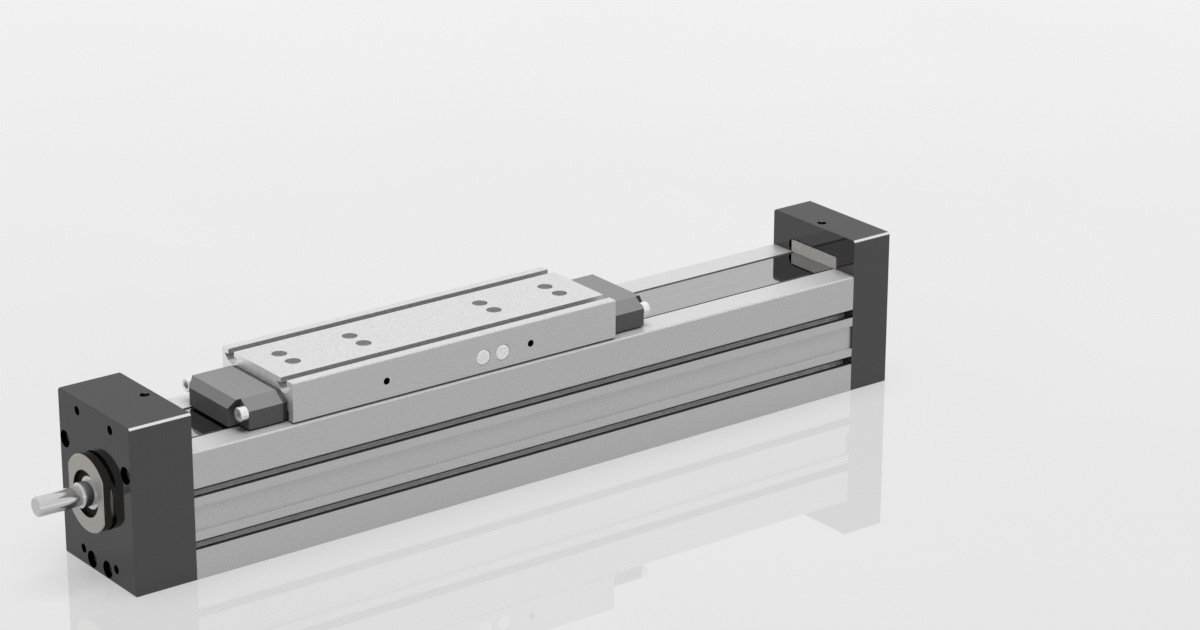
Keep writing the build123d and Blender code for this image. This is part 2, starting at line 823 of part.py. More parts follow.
# Saddle: joins both runners and the nut, with a tunnel for the screw and a neck below the band
runner_screw_places = [
    (
        carriage_rest + side * runner_spacing / 2 + x * runner_screw_x / 2,
        y * runner_screw_y / 2,
    )
    for side in (-1, 1)
    for x in (-1, 1)
    for y in (-1, 1)
]
saddle_start = carriage_rest - saddle_length / 2
saddle_top = band_low - saddle_under_band
saddle_ledge = runner_top + saddle_shoulder
tunnel_r = screw_r + tunnel_gap
housing_low = rail_top + housing_over_rail
with BuildPart() as saddle:
    with BuildSketch(across(saddle_start)):
        with Locations((0, (runner_top + saddle_ledge) / 2)):
            Rectangle(saddle_width, saddle_shoulder)
        with Locations((0, (runner_top + saddle_top) / 2)):
            Rectangle(2 * neck_half, saddle_top - runner_top)
        with Locations((0, screw_height)):
            Circle(tunnel_r, mode=Mode.SUBTRACT)
        with Locations((0, (runner_top + screw_height) / 2)):
            Rectangle(2 * tunnel_r, screw_height - runner_top, mode=Mode.SUBTRACT)
    extrude(amount=saddle_length)
    with BuildSketch(across(carriage_rest - housing_length / 2)):
        with Locations((0, (housing_low + saddle_ledge) / 2)):
            Rectangle(housing_width, saddle_ledge - housing_low)
    extrude(amount=housing_length)
    with BuildSketch(across(carriage_rest - housing_length / 2)):
        with Locations((0, screw_height)):
            Circle(nut_r + seat_gap)
    extrude(amount=housing_length, mode=Mode.SUBTRACT)
    with BuildSketch(Plane.XY.offset(runner_top)):
        with Locations(*runner_screw_places):
            Circle(m5_clear_r)
    extrude(amount=saddle_top - runner_top, mode=Mode.SUBTRACT)
    with BuildSketch(Plane.XY.offset(runner_top + runner_screw_seat)):
        with Locations(*runner_screw_places):
            Circle(m5_counterbore_r)
    extrude(amount=saddle_top - runner_top, mode=Mode.SUBTRACT)
    for side in (-1, 1):
        with BuildSketch(sideways(carriage_rest, side * saddle_width / 2, screw_height, side)):
            Circle(nut_screw_r + set_screw_gap)
        extrude(amount=nut_r - saddle_width / 2, mode=Mode.SUBTRACT)
        with BuildSketch(sideways(carriage_rest, side * neck_half, runner_top + neck_screw_low, side)):
            with Locations(*[(x, 0) for x in neck_screw_places]):
                Circle(neck_screw_r + m5_thread_gap)
        extrude(amount=-neck_screw_length, mode=Mode.SUBTRACT)
saddle.part.label = "saddle"
export_step(saddle.part, "parts/saddle.step")

runner_screw_list = [
    socket_screw(
        level(x, y, runner_top + runner_screw_seat),
        runner_screw_seat + runner_screw_grip - thread_room,
    )
    for x, y in runner_screw_places
]
with BuildPart() as runner_screws:
    add(runner_screw_list)
runner_screws.part.label = "runner_screws"
export_step(runner_screws.part, "parts/runner_screws.step")

# Ball nut, locked in the saddle by a set screw from each side
with BuildPart() as ball_nut:
    with BuildSketch(across(carriage_rest - nut_length / 2)):
        with Locations((0, screw_height)):
            Circle(nut_r)
    extrude(amount=nut_length)
    chamfer(ball_nut.edges().filter_by(GeomType.CIRCLE), length=nut_edge)
    with BuildSketch(across(carriage_rest - nut_length / 2)):
        with Locations((0, screw_height)):
            Circle(screw_r + nut_gap)
    extrude(amount=nut_length, mode=Mode.SUBTRACT)
ball_nut.part.label = "ball_nut"
export_step(ball_nut.part, "parts/ball_nut.step")

nut_screw_list = [
    set_screw(
        sideways(carriage_rest, side * (nut_r + seat_gap + nut_screw_length), screw_height, side),
        nut_screw_r,
        nut_screw_length,
        set_screw_socket_r,
        set_screw_socket_depth,
    )
    for side in (-1, 1)
]
with BuildPart() as nut_lock_screws:
    add(nut_screw_list)
nut_lock_screws.part.label = "nut_lock_screws"
export_step(nut_lock_screws.part, "parts/nut_lock_screws.step")

# Neck plates: two thin steel plates beside the band that tie the saddle to the carriage core
plate_low = runner_top + neck_low
with BuildPart() as neck_plates:
    for side in (-1, 1):
        with BuildSketch(sideways(carriage_rest, side * neck_half, 0, side)):
            with Locations((0, (plate_low + core_ledge) / 2)):
                Rectangle(neck_length, core_ledge - plate_low)
            for height in (runner_top + neck_screw_low, core_ledge - neck_screw_high):
                with Locations(*[(x, height) for x in neck_screw_places]):
                    Circle(neck_screw_r + m5_thread_gap, mode=Mode.SUBTRACT)
        extrude(amount=neck_thickness)
neck_plates.part.label = "neck_plates"
export_step(neck_plates.part, "parts/neck_plates.step")

neck_screw_list = [
    button_screw(
        sideways(carriage_rest + x, side * (neck_half + neck_thickness), height, side),
        neck_thickness + neck_screw_length - thread_room,
        neck_screw_r,
        neck_head_r,
        neck_head_height,
    )
    for x in neck_screw_places
    for side in (-1, 1)
    for height in (runner_top + neck_screw_low, core_ledge - neck_screw_high)
]
with BuildPart() as neck_plate_screws:
    add(neck_screw_list)
neck_plate_screws.part.label = "neck_plate_screws"
export_step(neck_plate_screws.part, "parts/neck_plate_screws.step")

# Carriage core: bridge above the band that carries the table, the caps and the neck plates
table_start = carriage_rest - table_length / 2
core_half = [
    (neck_half, core_low),
    (neck_half, core_ledge),
    (table_inner_half - core_gap, core_ledge),
    (table_inner_half - core_gap, table_under - haunch_foot - core_gap),
    (haunch_knee_y - core_gap, table_under - haunch_knee_drop - core_gap),
    (haunch_top_y - core_gap, table_under),
]
core_outline = core_half + [(-y, z) for y, z in reversed(core_half)]
table_holes = [
    (x * place, y * table_hole_offset)
    for place in (table_hole_inner, table_hole_outer)
    for x in (-1, 1)
    for y in (-1, 1)
]
table_screws_xy = [(x, y * table_screw_offset) for x in table_screw_places for y in (-1, 1)]
cap_screws_yz = [(-cap_screw_offset, cap_screw_height), (cap_screw_offset, cap_screw_height)]
with BuildPart() as carriage_core:
    with BuildSketch(across(table_start)):
        with BuildLine():
            Polyline(*core_outline, close=True)
        make_face()
    extrude(amount=table_length)
    for side in (-1, 1):
        with BuildSketch(across(carriage_rest + side * table_length / 2, -side)):
            with Locations(*cap_screws_yz):
                Circle(m5_hole_r)
        extrude(amount=cap_screw_grip + thread_room, mode=Mode.SUBTRACT)
        with BuildSketch(sideways(carriage_rest, side * neck_half, core_ledge - neck_screw_high, side)):
            with Locations(*[(x, 0) for x in neck_screw_places]):
                Circle(neck_screw_r + m5_thread_gap)
        extrude(amount=-neck_screw_length, mode=Mode.SUBTRACT)
    with BuildSketch(level(carriage_rest, 0, table_top)):
        with Locations(*table_holes):
            Circle(table_hole_r)
    extrude(amount=-table_hole_depth, mode=Mode.SUBTRACT)
    with BuildSketch(level(carriage_rest, 0, table_under)):
        with Locations(*table_screws_xy):
            Circle(m5_clear_r)
    extrude(amount=core_low - table_under, mode=Mode.SUBTRACT)
    with BuildSketch(level(carriage_rest, 0, core_low)):
        with Locations(*table_screws_xy):
            Circle(m5_counterbore_r)
    extrude(amount=table_screw_seat, mode=Mode.SUBTRACT)
carriage_core.part.label = "carriage_core"
export_step(carriage_core.part, "parts/carriage_core.step")

# Table: extruded plate with two legs, two T-slots and holes for what is mounted on it
table_bore = [
    (table_inner_half, table_low),
    (table_inner_half, table_under - haunch_foot),
    (haunch_knee_y, table_under - haunch_knee_drop),
    (haunch_top_y, table_under),
]
table_bore = table_bore + [(-y, z) for y, z in reversed(table_bore)]
table_slot = [
    (table_slot_opening / 2, 0),
    (table_slot_opening / 2, -table_slot_lip),
    (table_slot_half, -table_slot_lip),
    (table_slot_half, -table_slot_lip - table_slot_side),
    (table_slot_knee_half, -table_slot_knee),
    (table_slot_floor_half, -table_slot_depth),
]
table_slot = table_slot + [(-y, z) for y, z in reversed(table_slot)]
with BuildPart() as table:
    with BuildSketch(across(table_start)):
        with Locations((0, (table_low + table_top) / 2)):
            Rectangle(table_width, table_height)
        with BuildLine():
            Polyline(*table_bore, close=True)
        make_face(mode=Mode.SUBTRACT)
        for side in (-1, 1):
            with BuildLine():
                Polyline(*[(y + side * table_slot_offset, table_top + z) for y, z in table_slot], close=True)
            make_face(mode=Mode.SUBTRACT)
    extrude(amount=table_length)
    long_edges = table.edges().filter_by(Axis.X).group_by(Axis.Z)[-1].sort_by(Axis.Y)
    chamfer([long_edges[0], long_edges[-1]], length=table_edge)
    with BuildSketch(level(carriage_rest, 0, table_top)):
        with Locations(*table_holes):
            Circle(table_hole_r)
    extrude(amount=-table_plate, mode=Mode.SUBTRACT)
    with BuildSketch(level(carriage_rest, 0, table_top)):
        with Locations(*table_holes):
            Circle(sleeve_bore_r)
    extrude(amount=-sleeve_bore_depth, mode=Mode.SUBTRACT)
    with BuildSketch(level(carriage_rest, 0, table_under)):
        with Locations(*table_screws_xy):
            Circle(m5_hole_r)
    extrude(amount=table_screw_grip + seat_gap, mode=Mode.SUBTRACT)
    for side in (-1, 1):
        with BuildSketch(sideways(carriage_rest, side * table_width / 2, 0, side)):
            with Locations(*[(-side * x, table_top - side_hole_drop) for x in side_hole_places]):
                Circle(side_hole_r)
            with Locations(*[(-side * x, table_top - plug_drop) for x in plug_places]):
                Circle(plug_r + plug_gap)
        extrude(amount=-table_leg, mode=Mode.SUBTRACT)
table.part.label = "table"
export_step(table.part, "parts/table.step")

table_screw_list = [
    socket_screw(
        level(carriage_rest + x, y, core_low + table_screw_seat, -1),
        table_under - core_low - table_screw_seat + table_screw_grip,
    )
    for x, y in table_screws_xy
]
with BuildPart() as table_screws:
    add(table_screw_list)
table_screws.part.label = "table_screws"
export_step(table_screws.part, "parts/table_screws.step")

plug_list = [
    set_screw(
        sideways(carriage_rest + x, side * table_width / 2, table_top - plug_drop, side),
        plug_r,
        table_leg,
        plug_socket_r,
        plug_socket_depth,
    )
    for x in plug_places
    for side in (-1, 1)
]
with BuildPart() as grease_plugs:
    add(plug_list)
grease_plugs.part.label = "grease_plugs"
export_step(grease_plugs.part, "parts/grease_plugs.step")

# End caps with their screws, seals and wipers, mirrored at the two ends of the carriage
cap_low = table_low
cap_top = cap_low + cap_height
cap_shoulder = cap_low + cap_side_height
cap_outline = [
    (cap_width / 2, cap_low),
    (cap_width / 2, cap_shoulder),
    (cap_flat_width / 2, cap_top),
    (-cap_flat_width / 2, cap_top),
    (-cap_width / 2, cap_shoulder),
    (-cap_width / 2, cap_low),
]
for side, name in ((-1, "drive"), (1, "idle")):
    core_end = carriage_rest + side * table_length / 2
    cap_rear = core_end + side * cap_gap
    cap_face = cap_rear + side * cap_length
    with BuildPart() as cap:
        with BuildSketch(across(cap_rear, side)):
            with BuildLine():
                Polyline(*cap_outline, close=True)
            make_face()
        extrude(amount=cap_length)
        with BuildSketch(Plane.XZ.offset(-cap_width)):
            with BuildLine():
                Polyline(
                    (cap_face, cap_shoulder),
                    (cap_face - side * cap_end_slope, cap_top),
                    (cap_face, cap_top),
                    close=True,
                )
            make_face()
        extrude(amount=2 * cap_width, mode=Mode.SUBTRACT)
        with BuildSketch(across(cap_face, -side)):
            with Locations(*cap_screws_yz):
                Circle(cap_pocket_r)
            for pocket_side in (-1, 1):
                with Locations((pocket_side * cap_screw_offset, (cap_low + cap_screw_height) / 2)):
                    Rectangle(2 * cap_pocket_r, cap_screw_height - cap_low)
        extrude(amount=cap_pocket_depth, mode=Mode.SUBTRACT)
        with BuildSketch(across(cap_face, -side)):
            with Locations(*cap_screws_yz):
                Circle(m5_clear_r)
        extrude(amount=cap_length, mode=Mode.SUBTRACT)
        with BuildSketch(level((cap_rear + cap_face) / 2, 0, cap_low)):
            Rectangle(wiper_length, wiper_width)
        extrude(amount=wiper_height, mode=Mode.SUBTRACT)
    cap.part.label = f"cap_{name}"
    export_step(cap.part, f"parts/cap_{name}.step")

    with BuildPart() as band_wiper:
        with BuildSketch(level((cap_rear + cap_face) / 2, 0, band_top + wiper_gap)):
            Rectangle(wiper_length, wiper_width)
        extrude(amount=cap_low + wiper_height - band_top - wiper_gap)
        wiper_hollow = (cap_rear + cap_face) / 2
        with BuildSketch(level(wiper_hollow, 0, band_top + wiper_gap)):
            Rectangle(wiper_length - 2 * wiper_wall, wiper_width - 2 * wiper_wall)
        extrude(amount=wiper_height - wiper_wall, mode=Mode.SUBTRACT)
    band_wiper.part.label = f"band_wiper_{name}"
    export_step(band_wiper.part, f"parts/band_wiper_{name}.step")

    with BuildPart() as end_seal:
        with BuildSketch(across(core_end, side)):
            with BuildLine():
                Polyline(*cap_outline, close=True)
            make_face()
            offset(amount=-seal_inset, kind=Kind.INTERSECTION, mode=Mode.REPLACE)
            with Locations(*cap_screws_yz):
                Circle(m5_clear_r, mode=Mode.SUBTRACT)
        extrude(amount=cap_gap)
    end_seal.part.label = f"end_seal_{name}"
    export_step(end_seal.part, f"parts/end_seal_{name}.step")

    cap_seat = cap_face - side * cap_pocket_depth
    cap_screw_length = cap_length - cap_pocket_depth + cap_gap + cap_screw_grip
    cap_screw_list = [
        socket_screw(end_point(cap_seat, y, z, side), cap_screw_length) for y, z in cap_screws_yz
    ]
    with BuildPart() as cap_screws:
        add(cap_screw_list)
    cap_screws.part.label = f"cap_screws_{name}"
    export_step(cap_screws.part, f"parts/cap_screws_{name}.step")
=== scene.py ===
# %% [markdown]
# A ball screw linear module, dressed for a studio picture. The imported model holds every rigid
# piece at its real size: the slotted profile, the dark end blocks, the carriage with its table
# and caps, and the screw with its bearings. This lesson gives those pieces their finishes, adds
# the small turned and threaded parts that are too fine for the solid model, and lights them. The
# frame is in metres. Lengths given in millimetres are multiplied by MM, here or where they are
# used. X runs along the module, Z is up.

# %% Load the frame
import bpy
import bmesh
import json
import math
from mathutils import Matrix, Vector


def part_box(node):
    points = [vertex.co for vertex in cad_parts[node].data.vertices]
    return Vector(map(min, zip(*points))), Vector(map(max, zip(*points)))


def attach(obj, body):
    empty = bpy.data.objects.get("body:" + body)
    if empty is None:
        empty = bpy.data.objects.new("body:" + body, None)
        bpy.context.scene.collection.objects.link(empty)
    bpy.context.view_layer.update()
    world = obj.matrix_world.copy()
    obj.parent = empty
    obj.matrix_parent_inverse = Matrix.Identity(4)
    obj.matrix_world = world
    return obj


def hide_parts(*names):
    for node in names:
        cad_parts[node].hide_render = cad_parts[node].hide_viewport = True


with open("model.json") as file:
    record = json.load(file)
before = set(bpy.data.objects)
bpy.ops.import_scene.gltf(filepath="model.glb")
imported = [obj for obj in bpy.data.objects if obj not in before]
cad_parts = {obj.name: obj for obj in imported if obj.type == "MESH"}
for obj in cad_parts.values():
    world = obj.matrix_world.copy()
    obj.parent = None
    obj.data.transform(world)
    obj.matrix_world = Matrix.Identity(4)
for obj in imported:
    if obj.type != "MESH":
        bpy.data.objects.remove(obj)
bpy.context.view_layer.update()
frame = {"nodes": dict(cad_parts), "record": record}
nodes = frame["nodes"]

# %% [markdown]
# The camera. The picture was taken with a long lens, from the drive end, a little above the
# table. A long lens keeps the parallel edges almost parallel, which suits a technical product.
# The view is given by its azimuth, elevation and a small roll, and the camera's three axes follow
# from them.

# %% Camera
MM = 0.001
IMAGE_WIDTH_PX = 1200
SENSOR_WIDTH = 36.0
FOCAL_LENGTH_PX = 3580.36
CAMERA_PLACE = Vector((-1184.98, -1655.39, 850.56)) * MM
CAMERA_AZIMUTH = math.radians(-37.211)
CAMERA_ELEVATION = math.radians(20.379)
CAMERA_ROLL = math.radians(0.1986)
CLIP_FAR = 100


def camera_axes(azimuth, elevation, roll):
    """The camera's right, up and backward directions."""
    back = Vector((
        math.sin(azimuth) * math.cos(elevation),
        -math.cos(azimuth) * math.cos(elevation),
        math.sin(elevation),
    ))
    level_right = Vector((0, 0, 1)).cross(back).normalized()
    level_up = back.cross(level_right)
    right = math.cos(roll) * level_right + math.sin(roll) * level_up
    up = math.cos(roll) * level_up - math.sin(roll) * level_right
    return right, up, back


lens = bpy.data.cameras.new("studio_camera")
lens.sensor_width = SENSOR_WIDTH
lens.lens = FOCAL_LENGTH_PX / IMAGE_WIDTH_PX * SENSOR_WIDTH
lens.clip_end = CLIP_FAR
camera = bpy.data.objects.new("studio_camera", lens)
bpy.context.scene.collection.objects.link(camera)
axes = Matrix(camera_axes(CAMERA_AZIMUTH, CAMERA_ELEVATION, CAMERA_ROLL)).transposed()
camera.matrix_world = Matrix.Translation(CAMERA_PLACE) @ axes.to_4x4()
bpy.context.scene.camera = camera
print("lens:", round(lens.lens, 1), "mm")

# %% [markdown]
# A finish is a small network of nodes. Each one starts from the same three things: the piece's
# own coordinates in metres, the shader, and a soft rounding of the edges. The rounding is the
# Bevel node, which catches the thin line of light that every machined edge shows. The Mix node
# has a set of sockets for each kind of value, so its colour sockets are found by their numbers.

# %% Helpers for finishes
EDGE_ROUND = 0.25 * MM
BEVEL_SAMPLES = 6
RAMP_DARK_AT = 0.3
RAMP_LIGHT_AT = 0.7
NOISE_LOW = 0.35
NOISE_HIGH = 0.65
MIX_MASK, MIX_UNDER, MIX_OVER, MIX_RESULT = 0, 6, 7, 2


class Finish:
    """One material under construction, with short calls for the nodes that the finishes share."""

    def __init__(self, name, colour, metallic, roughness, edge=EDGE_ROUND):
        self.material = bpy.data.materials.new(name)
        self.material.use_nodes = True
        self.tree = self.material.node_tree
        self.shader = self.tree.nodes["Principled BSDF"]
        self.shader.inputs["Base Color"].default_value = (*colour, 1)
        self.shader.inputs["Metallic"].default_value = metallic
        self.shader.inputs["Roughness"].default_value = roughness
        self.place = self.add("ShaderNodeTexCoord").outputs["Object"]
        bevel = self.add("ShaderNodeBevel")
        bevel.samples = BEVEL_SAMPLES
        bevel.inputs["Radius"].default_value = edge
        self.normal = bevel.outputs["Normal"]
        self.link(self.normal, self.shader.inputs["Normal"])

    def add(self, kind):
        return self.tree.nodes.new(kind)

    def link(self, output, socket):
        self.tree.links.new(output, socket)

    def noise(self, scale, stretch=(1, 1, 1), detail=2.0, rough=0.5):
        """Noise in the piece's own space, stretched by the three factors, with values about 0.5."""
        mapping = self.add("ShaderNodeMapping")
        mapping.inputs["Scale"].default_value = [scale * factor for factor in stretch]
        texture = self.add("ShaderNodeTexNoise")
        texture.inputs["Scale"].default_value = 1.0
        texture.inputs["Detail"].default_value = detail
        texture.inputs["Roughness"].default_value = rough
        self.link(self.place, mapping.inputs["Vector"])
        self.link(mapping.outputs["Vector"], texture.inputs["Vector"])
        return texture.outputs["Fac"]

    def spread(self, value, low, high):
        """Maps a noise value to the range from low to high."""
        node = self.add("ShaderNodeMapRange")
        node.inputs["From Min"].default_value = NOISE_LOW
        node.inputs["From Max"].default_value = NOISE_HIGH
        node.inputs["To Min"].default_value = low
        node.inputs["To Max"].default_value = high
        self.link(value, node.inputs["Value"])
        return node.outputs["Result"]

    def shade(self, value, dark, light):
        """A colour output between dark and light, by the value."""
        ramp = self.add("ShaderNodeValToRGB")
        ramp.color_ramp.elements[0].position = RAMP_DARK_AT
        ramp.color_ramp.elements[0].color = (*dark, 1)
        ramp.color_ramp.elements[1].position = RAMP_LIGHT_AT
        ramp.color_ramp.elements[1].color = (*light, 1)
        self.link(value, ramp.inputs["Fac"])
        return ramp.outputs["Color"]

    def tint(self, value, dark, light):
        """Colours the whole piece between dark and light."""
        self.colour = self.shade(value, dark, light)
        self.link(self.colour, self.shader.inputs["Base Color"])

    def patch(self, mask, value, dark, light):
        """Lays a second tint over the first one where the mask is one."""
        mix = self.add("ShaderNodeMix")
        mix.data_type = "RGBA"
        self.link(mask, mix.inputs[MIX_MASK])
        self.link(self.colour, mix.inputs[MIX_UNDER])
        self.link(self.shade(value, dark, light), mix.inputs[MIX_OVER])
        self.colour = mix.outputs[MIX_RESULT]
        self.link(self.colour, self.shader.inputs["Base Color"])

    def maths(self, operation, first, *others):
        """A maths node on an output and up to two more outputs or numbers."""
        node = self.add("ShaderNodeMath")
        node.operation = operation
        self.link(first, node.inputs[0])
        for socket, other in zip(list(node.inputs)[1:], others):
            if isinstance(other, (int, float)):
                socket.default_value = other
            else:
                self.link(other, socket)
        return node.outputs["Value"]

    def facing(self, axis):
        """How squarely a face looks along X, Y or Z: one for a face straight across that axis."""
        geometry = self.add("ShaderNodeNewGeometry")
        split = self.add("ShaderNodeSeparateXYZ")
        self.link(geometry.outputs["True Normal"], split.inputs["Vector"])
        return self.maths("ABSOLUTE", split.outputs[axis])

    def along(self, axis):
        """The place along X, Y or Z, in metres."""
        split = self.add("ShaderNodeSeparateXYZ")
        self.link(self.place, split.inputs["Vector"])
        return split.outputs[axis]

    def above(self, height):
        """One where the piece is higher than the height."""
        return self.maths("GREATER_THAN", self.along("Z"), height)

    def apart(self, axis, middle, offset):
        """How far the place is, along an axis, beyond an offset in mm from a middle in mm."""
        from_middle = self.maths("ABSOLUTE", self.maths("SUBTRACT", self.along(axis), middle * MM))
        return self.maths("SUBTRACT", from_middle, offset * MM)

    def in_bore(self, first, second, radius):
        """One inside a bore, by the two distances from its axis; the radius is in millimetres."""
        square = self.maths("MULTIPLY_ADD", first, first, self.maths("MULTIPLY", second, second))
        return self.maths("LESS_THAN", square, (radius * MM) ** 2)

    def rough(self, value, low, high):
        """Varies the roughness between low and high."""
        self.link(self.spread(value, low, high), self.shader.inputs["Roughness"])

    def bump(self, value, depth, strength=1.0):
        """Relief of the depth given, on top of the normal so far."""
        node = self.add("ShaderNodeBump")
        node.inputs["Distance"].default_value = depth
        node.inputs["Strength"].default_value = strength
        self.link(value, node.inputs["Height"])
        self.link(self.normal, node.inputs["Normal"])
        self.normal = node.outputs["Normal"]
        self.link(self.normal, self.shader.inputs["Normal"])


def grey(value):
    return (value, value, value)


print("finish helper ready, edge round:", EDGE_ROUND)

# %% [markdown]
# Blasted aluminium. The profile is extruded, blasted with fine beads and anodised in its natural
# colour. Under the lamp it is a soft grey with a fine speckle, and along the extrusion run very
# faint die lines. Noise at the size of the dents, under a millimetre, gives the speckle in
# colour, gloss and relief. Inside the T-slots, light and shade are painted into the colour. The
# walls and floor of a slot's chamber are painted bright, as painted light that reaches in. The
# walls of a slot's mouth and the upper part of its chamber face its dark inside. They are
# painted dark, as painted shade, so that a slot shows as a light strip between two dark lines.
# The chamber's floor keeps its painted brightness, because it throws light on to the strip.

# %% Blasted aluminium of the profile
BEAD = 1500.0
SLOT_CHAMBER_Y = 34.0 * MM
SLOT_CHAMBER_HALF = 2.45 * MM
SLOT_TOP = 65.0 * MM
SIDE_SLOT_HEIGHTS = (21.0, 53.0)
SLOT_MOUTH_Y = 38.2 * MM
SLOT_MOUTH_DEPTH_HALF = 1.7 * MM
SLOT_MOUTH_HALF = 2.85 * MM
SLOT_SHADE_MIDDLE = 1.35 * MM
SLOT_SHADE_HALF = 3.55 * MM


def blasted_aluminium():
    finish = Finish("blasted_aluminium", grey(0.44), 0.83, 0.4)
    beads = finish.noise(BEAD, detail=3.0, rough=0.6)
    finish.tint(beads, grey(0.34), grey(0.56))
    aside = finish.maths("ABSOLUTE", finish.along("Y"))
    in_chamber = finish.maths("COMPARE", aside, SLOT_CHAMBER_Y, SLOT_CHAMBER_HALF)
    below_lips = finish.maths("LESS_THAN", finish.along("Z"), SLOT_TOP)
    # Painted light: the chamber's walls and floor are painted bright.
    finish.patch(finish.maths("MULTIPLY", in_chamber, below_lips), beads, grey(0.88), grey(0.94))
    # Painted shade: the mouth's walls and the upper part of the chamber are painted dark.
    in_mouth = finish.maths("COMPARE", aside, SLOT_MOUTH_Y, SLOT_MOUTH_DEPTH_HALF)
    for height in SIDE_SLOT_HEIGHTS:
        at_mouth = finish.maths("COMPARE", finish.along("Z"), height * MM, SLOT_MOUTH_HALF)
        finish.patch(finish.maths("MULTIPLY", in_mouth, at_mouth), beads, grey(0.09), grey(0.14))
        shade_middle = height * MM + SLOT_SHADE_MIDDLE
        at_shade = finish.maths("COMPARE", finish.along("Z"), shade_middle, SLOT_SHADE_HALF)
        finish.patch(finish.maths("MULTIPLY", in_chamber, at_shade), beads, grey(0.12), grey(0.18))
    finish.rough(beads, 0.34, 0.5)
    finish.bump(beads, 0.03 * MM, 0.5)
    die_lines = finish.noise(900.0, stretch=(0.004, 1, 1))
    finish.bump(die_lines, 0.01 * MM, 0.35)
    return finish.material


profile_finish = blasted_aluminium()
print("profile finish:", profile_finish.name)

# %% [markdown]
# The table is blasted and anodised like the profile. Its ends are sawn and milled after that, so
# faces across X get a lighter, upright brushed tint. This tint is partly that milled finish and
# partly painted light that brightens these faces. The holes are drilled last: the bores in the
# top are a little brighter than the blasted face. The small ones in the sides are painted black
# inside, as painted shade. Masks at their places are enough for both, because only the mouths of
# the holes can be seen.

# %% Aluminium of the table
TABLE_MIDDLE_X = -60.75
TABLE_HOLE_Y = 7.4
TABLE_HOLE_PLACES = (47.0, 96.0)
SLEEVE_BORE_R = 4.75
SIDE_HOLE_PLACES = (-51.5, 52.0)
SIDE_HOLE_Z = 89.6
SIDE_HOLE_R = 2.15
SQUARE_ON = 0.9


def anodised_table():
    finish = Finish("anodised_table", grey(0.46), 0.83, 0.38)
    beads = finish.noise(BEAD, detail=3.0, rough=0.55)
    finish.tint(beads, grey(0.36), grey(0.56))
    brushed = finish.noise(1500.0, stretch=(1, 1, 0.03))
    # Partly the milled finish of the ends, partly painted light that brightens faces across X.
    milled_and_lit_ends = finish.maths("GREATER_THAN", finish.facing("X"), SQUARE_ON)
    finish.patch(milled_and_lit_ends, brushed, grey(0.72), grey(0.9))
    for place in TABLE_HOLE_PLACES:
        from_hole = (finish.apart("Y", 0, TABLE_HOLE_Y), finish.apart("X", TABLE_MIDDLE_X, place))
        finish.patch(finish.in_bore(*from_hole, SLEEVE_BORE_R), beads, grey(0.42), grey(0.56))
    # Painted shade: the small holes in the sides are painted black inside.
    for place in SIDE_HOLE_PLACES:
        from_middle = finish.apart("X", TABLE_MIDDLE_X + place, 0)
        from_hole = (finish.apart("Z", SIDE_HOLE_Z, 0), from_middle)
        finish.patch(finish.in_bore(*from_hole, SIDE_HOLE_R), beads, grey(0.003), grey(0.006))
    finish.rough(beads, 0.34, 0.46)
    finish.bump(beads, 0.02 * MM, 0.4)
    return finish.material


table_finish = anodised_table()
print("table finish:", table_finish.name)

# %% [markdown]
# Milled aluminium. The plates inside the carriage are milled all over and not blasted. The cutter
# leaves fine parallel marks, which noise stretched along Y gives.

# %% Milled aluminium inside the carriage
def milled_aluminium():
    finish = Finish("milled_aluminium", grey(0.6), 0.95, 0.3)
    cutter_marks = finish.noise(1400.0, stretch=(1, 0.03, 1))
    finish.tint(cutter_marks, grey(0.55), grey(0.68))
    finish.bump(cutter_marks, 0.02 * MM, 0.5)
    return finish.material


milled_finish = milled_aluminium()
print("milled finish:", milled_finish.name)

# %% [markdown]
# Dark anodised end blocks. They are lapped before anodising, so the dark surface still mirrors
# the band and the lips next to it. A metal with a very dark colour does that: what it mirrors
# keeps its shape and loses most of its light. A large soft noise in the gloss keeps the mirror
# from looking like glass. The long top edges are chamfered after anodising. There a light colour
# is painted as a bright line, which is partly the bare metal of the chamfer and partly a painted
# highlight of the lamp. The mask finds the faces near the top of the block that slope at 45
# degrees across it. The counterbores of the screws, in the outer face of each block, and the
# flange holes, only in the drive block, are painted black inside, as painted shade.

# %% Dark anodised blocks
BARE_EDGE_HIGHLIGHT_ABOVE = 100.7 * MM
SLOPE_45 = 0.707
SLOPE_TOLERANCE = 0.2
COUNTERBORES = [(34.0, 72.2), (8.8, 6.0)]
COUNTERBORE_R = 5.25
COUNTERBORE_BEYOND = 266.9 * MM
FLANGE_HOLES = [(18.5, 9.4), (18.5, 94.4)]
FLANGE_HOLE_R = 2.8
FLANGE_HOLE_BEFORE = -270.9 * MM


